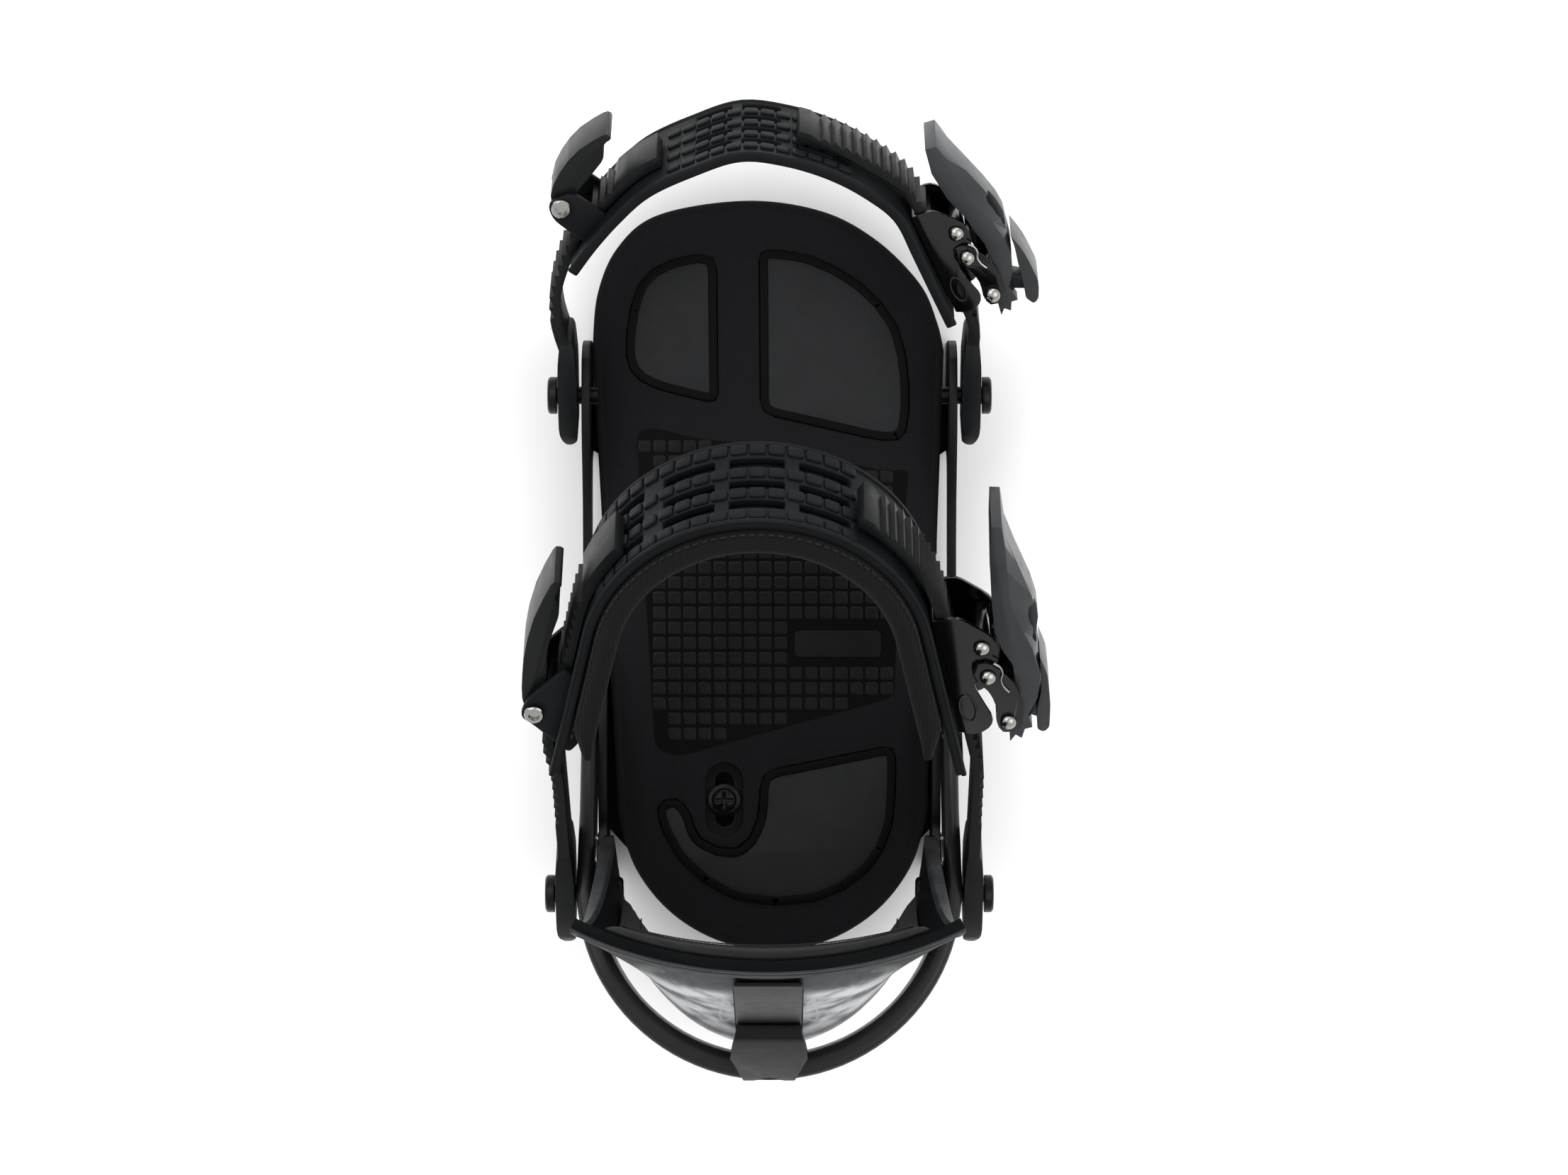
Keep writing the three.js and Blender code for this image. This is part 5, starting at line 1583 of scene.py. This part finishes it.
@dataclass
class AnkleStrap:
    """The ankle strap: a rubber lattice over a foam liner, its ladders and its buckle."""

    shop: Workshop
    frame: StrapFrame = StrapFrame(-88.0, 52.0, 36.0)
    centre: Point = (-3.5, 103.5)
    flare: float = 12.0
    inner: float = 43.0
    pad: float = 7.5
    thick: float = 3.2
    end: float = 61.0
    low: float = -25.0
    high: float = 17.5
    turns: tuple[float, ...] = (-49.0, -24.5, 0.0, 24.5)
    window: float = 16.4
    rows: tuple[Point, ...] = ((-16.8, -11.8), (-5.0, -0.6), (5.2, 9.4))
    pin: Point = (-72.3, 82.0)
    buckle: Point = (67.2, 96.0)
    buckle_turn: float = 12.0
    rails: tuple[float, ...] = (-20.6, -8.4, 2.3, 13.2)
    block: tuple[float, float, float] = (5.0, 4.6, 1.3)
    block_pitch: float = 5.7
    stitch: tuple[float, float, float] = (1.9, 0.55, 0.5)
    step: float = 3.0
    unit: str = "ankle_strap_unit"

    def arch(self, radius: float, end: float) -> list[Point]:
        """The arch from its right foot over the top to its left foot.

        Args:
            radius: The arch's radius.
            end: The height of its feet.

        Returns:
            The arch's points.
        """
        around, legs = 60, 8
        cu, cv = self.centre
        flare = math.radians(self.flare)
        top = cv + radius * math.sin(flare)

        def foot(side: int, height: float) -> Point:
            """A point of a leg."""
            return cu + side * (radius * math.cos(flare) + math.tan(flare) * (top - height)), height
        arc = [(cu + radius * math.cos(a), cv + radius * math.sin(a))
               for a in (flare + (math.pi - 2 * flare) * i / around for i in range(around + 1))]
        right = [foot(1, end + (top - end) * i / legs) for i in range(legs)]
        left = [foot(-1, top + (end - top) * i / legs) for i in range(1, legs + 1)]
        return [*right, *arc, *left]

    def line(self, radius: float, end: float, step: float,
             extra: Iterable[float] = ()) -> list[Station]:
        """Stations along the arch with the way out pointing away from the ankle."""
        found = stations(self.arch(radius, end), step, extra)
        return [Station(s.u, s.v, s.along, (-s.out[0], -s.out[1]), s.length) for s in found]

    def build(self) -> None:
        """Builds every piece of the sub-assembly."""
        self.liner()
        self.band()
        for side in ("left", "right"):
            self.shop.refined(f"ankle_ladder_{side}", self.unit, "ladder_plastic", Finish.LADDER, 0.4, 2)
        px, pv = self.pin
        Ears(self.shop, "ankle", self.frame, ((-59.5, 96, 3), (-63, 98, 2), (px - 2.4, pv + 4.4, 4),
                                              (px - 4.6, pv - 2, 3), (px - 1, pv - 4.6, 3), (-62, 66, 2),
                                              (-58.5, 70, 2))).build()
        Buckle(self.shop, "ankle", self.frame, self.buckle, self.buckle_turn, 1.0).build()

    def liner(self) -> None:
        """The foam liner, rounded at its edges, with a stitched seam on both."""
        low, high = self.low - 7, self.high + 3
        line = self.line(self.inner, self.end + 8, 2.4)

        def shape(share: float) -> list[Point]:
            """The liner's section, which thins towards both ends."""
            end = min(1.0, 16 * min(share, 1 - share) + 0.35)
            return section(0.1, 0.1 + (self.pad - 0.4) * end, low + 0.2, high - 0.2, 3.0, 6, 0.2)
        liner = soften(self.frame.band("ankle_liner", line, shape))
        self.shop.settle(liner, self.unit, "liner_fabric", Finish.LINER, "ankle_pad")
        seats = []
        for s in self.line(self.inner + self.pad - 0.15, self.end + 14, 2.9)[1:-1]:
            for w in (low + 3.4, high - 1.4):
                seats.append((self.frame.place(s.u, s.v, w), self.frame.way(s.along),
                              self.frame.way(s.out)))
        self.shop.lay("ankle_stitches", self.unit, "liner_fabric", Finish.THREAD, seats, self.stitch, 0.3)

    def band(self) -> None:
        """The rubber band with its windows, raised ribs and rims."""
        radius = self.inner + self.pad + 0.35 + self.thick / 2
        plain = stations(self.arch(radius, self.end), self.step)
        spans = []
        for turn in self.turns:
            angle = math.radians(90 - turn)
            place = (self.centre[0] + radius * math.cos(angle), self.centre[1] + radius * math.sin(angle))
            near = min(plain, key=lambda s: math.dist((s.u, s.v), place))
            spans.append((near.length - self.window / 2, near.length + self.window / 2))
        line = self.line(radius, self.end, self.step, [e for span in spans for e in span])
        widths = sorted({self.low, self.high, self.low + 2.6, self.high - 2.6,
                         *(w for row in self.rows for w in row)})
        gaps = [(*span, *row) for span in spans for row in self.rows]
        band = self.frame.lattice("ankle_lattice", line, widths, self.thick - 0.5, gaps)
        soften(band, 0.55, 2, 1)
        self.shop.settle(band, self.unit, "strap_rubber", Finish.STRAP, "ankle_strap")
        top = self.thick / 2 - 0.1
        seats = []
        low, high = sorted((spans[-1][0] - 2, spans[0][1] + 6))
        count = round((high - low) / self.block_pitch)
        marks = [low + (high - low) * (i + 0.5) / count for i in range(count)]
        for s in self.line(radius, self.end, SPARSE, marks):
            if not low < s.length < high:
                continue
            for w in self.rails:
                seats.append((self.frame.place(s.u + s.out[0] * top, s.v + s.out[1] * top, w),
                              self.frame.way(s.along), self.frame.way(s.out)))
        self.shop.lay("ankle_rib_blocks", self.unit, "strap_rubber", Finish.STRAP, seats, self.block, 0.62)
        line = self.line(radius + self.thick / 2 - 0.6, self.end, self.step)
        half = 1.0
        for w, name in ((self.low + half, "front"), (self.high - half, "rear")):
            rim = self.frame.band(f"ankle_rim_{name}", line,
                                  lambda _, w=w: section(-0.6, 1.0, w - half, w + half, 0.7))
            soften(rim)
            self.shop.settle(rim, self.unit, "strap_rubber", Finish.STRAP)


@dataclass
class ToeStrap:
    """The toe cap strap: a rubber lattice with flanges, its ladders and its buckle."""

    shop: Workshop
    frame: StrapFrame = StrapFrame(71.3, 35.0, 28.0)
    thick: float = 3.6
    low: float = -23.0
    high: float = 20.0
    places: tuple[float, ...] = (-18.0, -2.0, 14.0)
    window: float = 11.6
    rows: tuple[Point, ...] = ((-19.6, -15.4), (-10.6, -6.4), (-1.6, 2.6), (7.4, 11.2))
    pin: Point = (-65.2, 71.6)
    buckle: Point = (62.3, 54.5)
    buckle_turn: float = 24.0
    buckle_scale: float = 0.83
    rails: tuple[float, ...] = (-13.0, -4.0, 5.0, 14.0)
    block: tuple[float, float, float] = (4.4, 3.6, 1.1)
    block_pitch: float = 5.2
    step: float = 3.0
    unit: str = "toe_strap_unit"
    spine: tuple[Point, ...] = ((-61.6, 52), (-55.4, 61), (-47.4, 70.6), (-38, 79.4), (-24, 86.4), (-9, 91.6),
                                (6, 89.8), (20, 85), (31.4, 78.4), (40.4, 70.6), (46.2, 58.4), (52, 45.6),
                                (57.4, 33.7))

    def build(self) -> None:
        """Builds every piece of the sub-assembly."""
        self.band()
        for side in ("left", "right"):
            self.shop.refined(f"toe_ladder_{side}", self.unit, "ladder_plastic", Finish.LADDER, 0.4, 2)
        pu, pv = self.pin
        Ears(self.shop, "toe", self.frame, ((-50, 68, 2), (-61.4, 76.4, 3), (pu - 4.4, pv + 1.4, 3),
                                            (pu - 3, pv - 4.2, 3), (-58, 59, 2), (-54, 62, 1))).build()
        Buckle(self.shop, "toe", self.frame, self.buckle, self.buckle_turn, self.buckle_scale).build()

    def band(self) -> None:
        """The rubber band with its windows, bars, teeth and rims."""
        path = spline(self.spine)
        plain = stations(path, 2.5)
        spans = []
        for u in self.places:
            near = min(plain, key=lambda s: abs(s.u - u))
            spans.append((near.length - self.window / 2, near.length + self.window / 2))
        line = stations(path, self.step, [e for span in spans for e in span])
        widths = sorted({self.low, self.high, self.low + 2.0, self.high - 3.0,
                         *(w for row in self.rows for w in row)})
        gaps = [(*span, *row) for span in spans for row in self.rows]
        band = self.frame.lattice("toe_lattice", line, widths, self.thick - 0.6, gaps)
        soften(band, 0.55, 2, 1)
        self.shop.settle(band, self.unit, "strap_rubber", Finish.STRAP, "toe_strap")
        top = self.thick / 2 - 0.1
        low, high = spans[0][0] - 10, spans[-1][1] + 6
        count = round((high - low) / self.block_pitch)
        marks = [low + (high - low) * (i + 0.5) / count for i in range(count)]
        seats = []
        for s in stations(path, SPARSE, marks):
            if not low < s.length < high:
                continue
            for w in self.rails:
                seats.append((self.frame.place(s.u + s.out[0] * top, s.v + s.out[1] * top, w),
                              self.frame.way(s.along), self.frame.way(s.out)))
        self.shop.lay("toe_bar_blocks", self.unit, "strap_rubber", Finish.STRAP, seats, self.block, 0.6)
        half = 1.1
        for w, name in ((self.low + half, "front"), (self.high - half, "rear")):
            rim = self.frame.band(f"toe_rim_{name}", stations(path, self.step),
                                  lambda _, w=w: section(-1.4, 1.9, w - half, w + half, 0.9))
            soften(rim)
            self.shop.settle(rim, self.unit, "strap_rubber", Finish.STRAP)


# ---------------------------------------------------------------- stage


@dataclass(frozen=True)
class Lamp:
    """A soft square light that looks at the binding, with its place and size in metres and power in watts."""

    name: str
    place: tuple[float, float, float]
    power: float
    span: float


@dataclass
class Studio:
    """The floor, the lights and the camera straight above."""

    distance: float = 1800.0
    aim: Point = (4.65, 9.5)
    lens: float = 126.0
    film: float = 36.0
    near: float = 0.05
    far: float = 20.0
    floor_half: float = 6.0
    floor_drop: float = 0.6
    floor_grey: float = 0.9
    sky: float = 1.1
    lamps: tuple[Lamp, ...] = (
        Lamp("key", (-1.0, 0.7, 1.9), 17.0, 1.6),
        Lamp("fill", (1.2, -0.4, 1.7), 15.0, 1.6),
        Lamp("rim", (0.1, 1.7, 1.1), 8.0, 1.0),
    )

    def build(self) -> None:
        """Sets the stage."""
        scene = bpy.context.scene
        scene.view_settings.view_transform = "Standard"
        half, z = self.floor_half, -self.floor_drop * MM
        floor = object_from("floor", [(-half, -half, z), (half, -half, z), (half, half, z), (-half, half, z)],
                            [[0, 1, 2, 3]])
        bench = Bench("floor_white")
        grey = self.floor_grey
        bench.plain(Base_Color=(grey, grey, grey, 1), Roughness=0.9, Specular_IOR_Level=0.1)
        floor.data.materials.append(bench.material)
        world = bpy.data.worlds.new("studio")
        world.use_nodes = True
        world.node_tree.nodes["Background"].inputs["Color"].default_value = (1, 1, 1, 1)
        world.node_tree.nodes["Background"].inputs["Strength"].default_value = self.sky
        scene.world = world
        for lamp in self.lamps:
            light = bpy.data.lights.new(lamp.name, "AREA")
            light.energy = lamp.power
            light.size = lamp.span
            holder = bpy.data.objects.new(lamp.name, light)
            holder.location = lamp.place
            holder.rotation_euler = (-Vector(lamp.place)).to_track_quat("-Z", "Y").to_euler()
            scene.collection.objects.link(holder)
        camera = bpy.data.cameras.new("camera")
        camera.lens = self.lens
        camera.sensor_width = self.film
        camera.clip_start, camera.clip_end = self.near, self.far
        eye = bpy.data.objects.new("camera", camera)
        eye.location = (self.aim[0] * MM, self.aim[1] * MM, self.distance * MM)
        scene.collection.objects.link(eye)
        scene.camera = eye


def main() -> None:
    """Loads the frame and builds the binding around it."""
    logging.basicConfig(level=logging.INFO, format="%(name)s %(message)s")
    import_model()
    Studio().build()
    shop = Workshop()
    for part in (Chassis(shop), Footbed(shop), Highback(shop), AnkleStrap(shop), ToeStrap(shop)):
        LOG.info("building %s", type(part).__name__)
        part.build()
    bpy.context.view_layer.update()


if __name__ == "__main__":
    main()
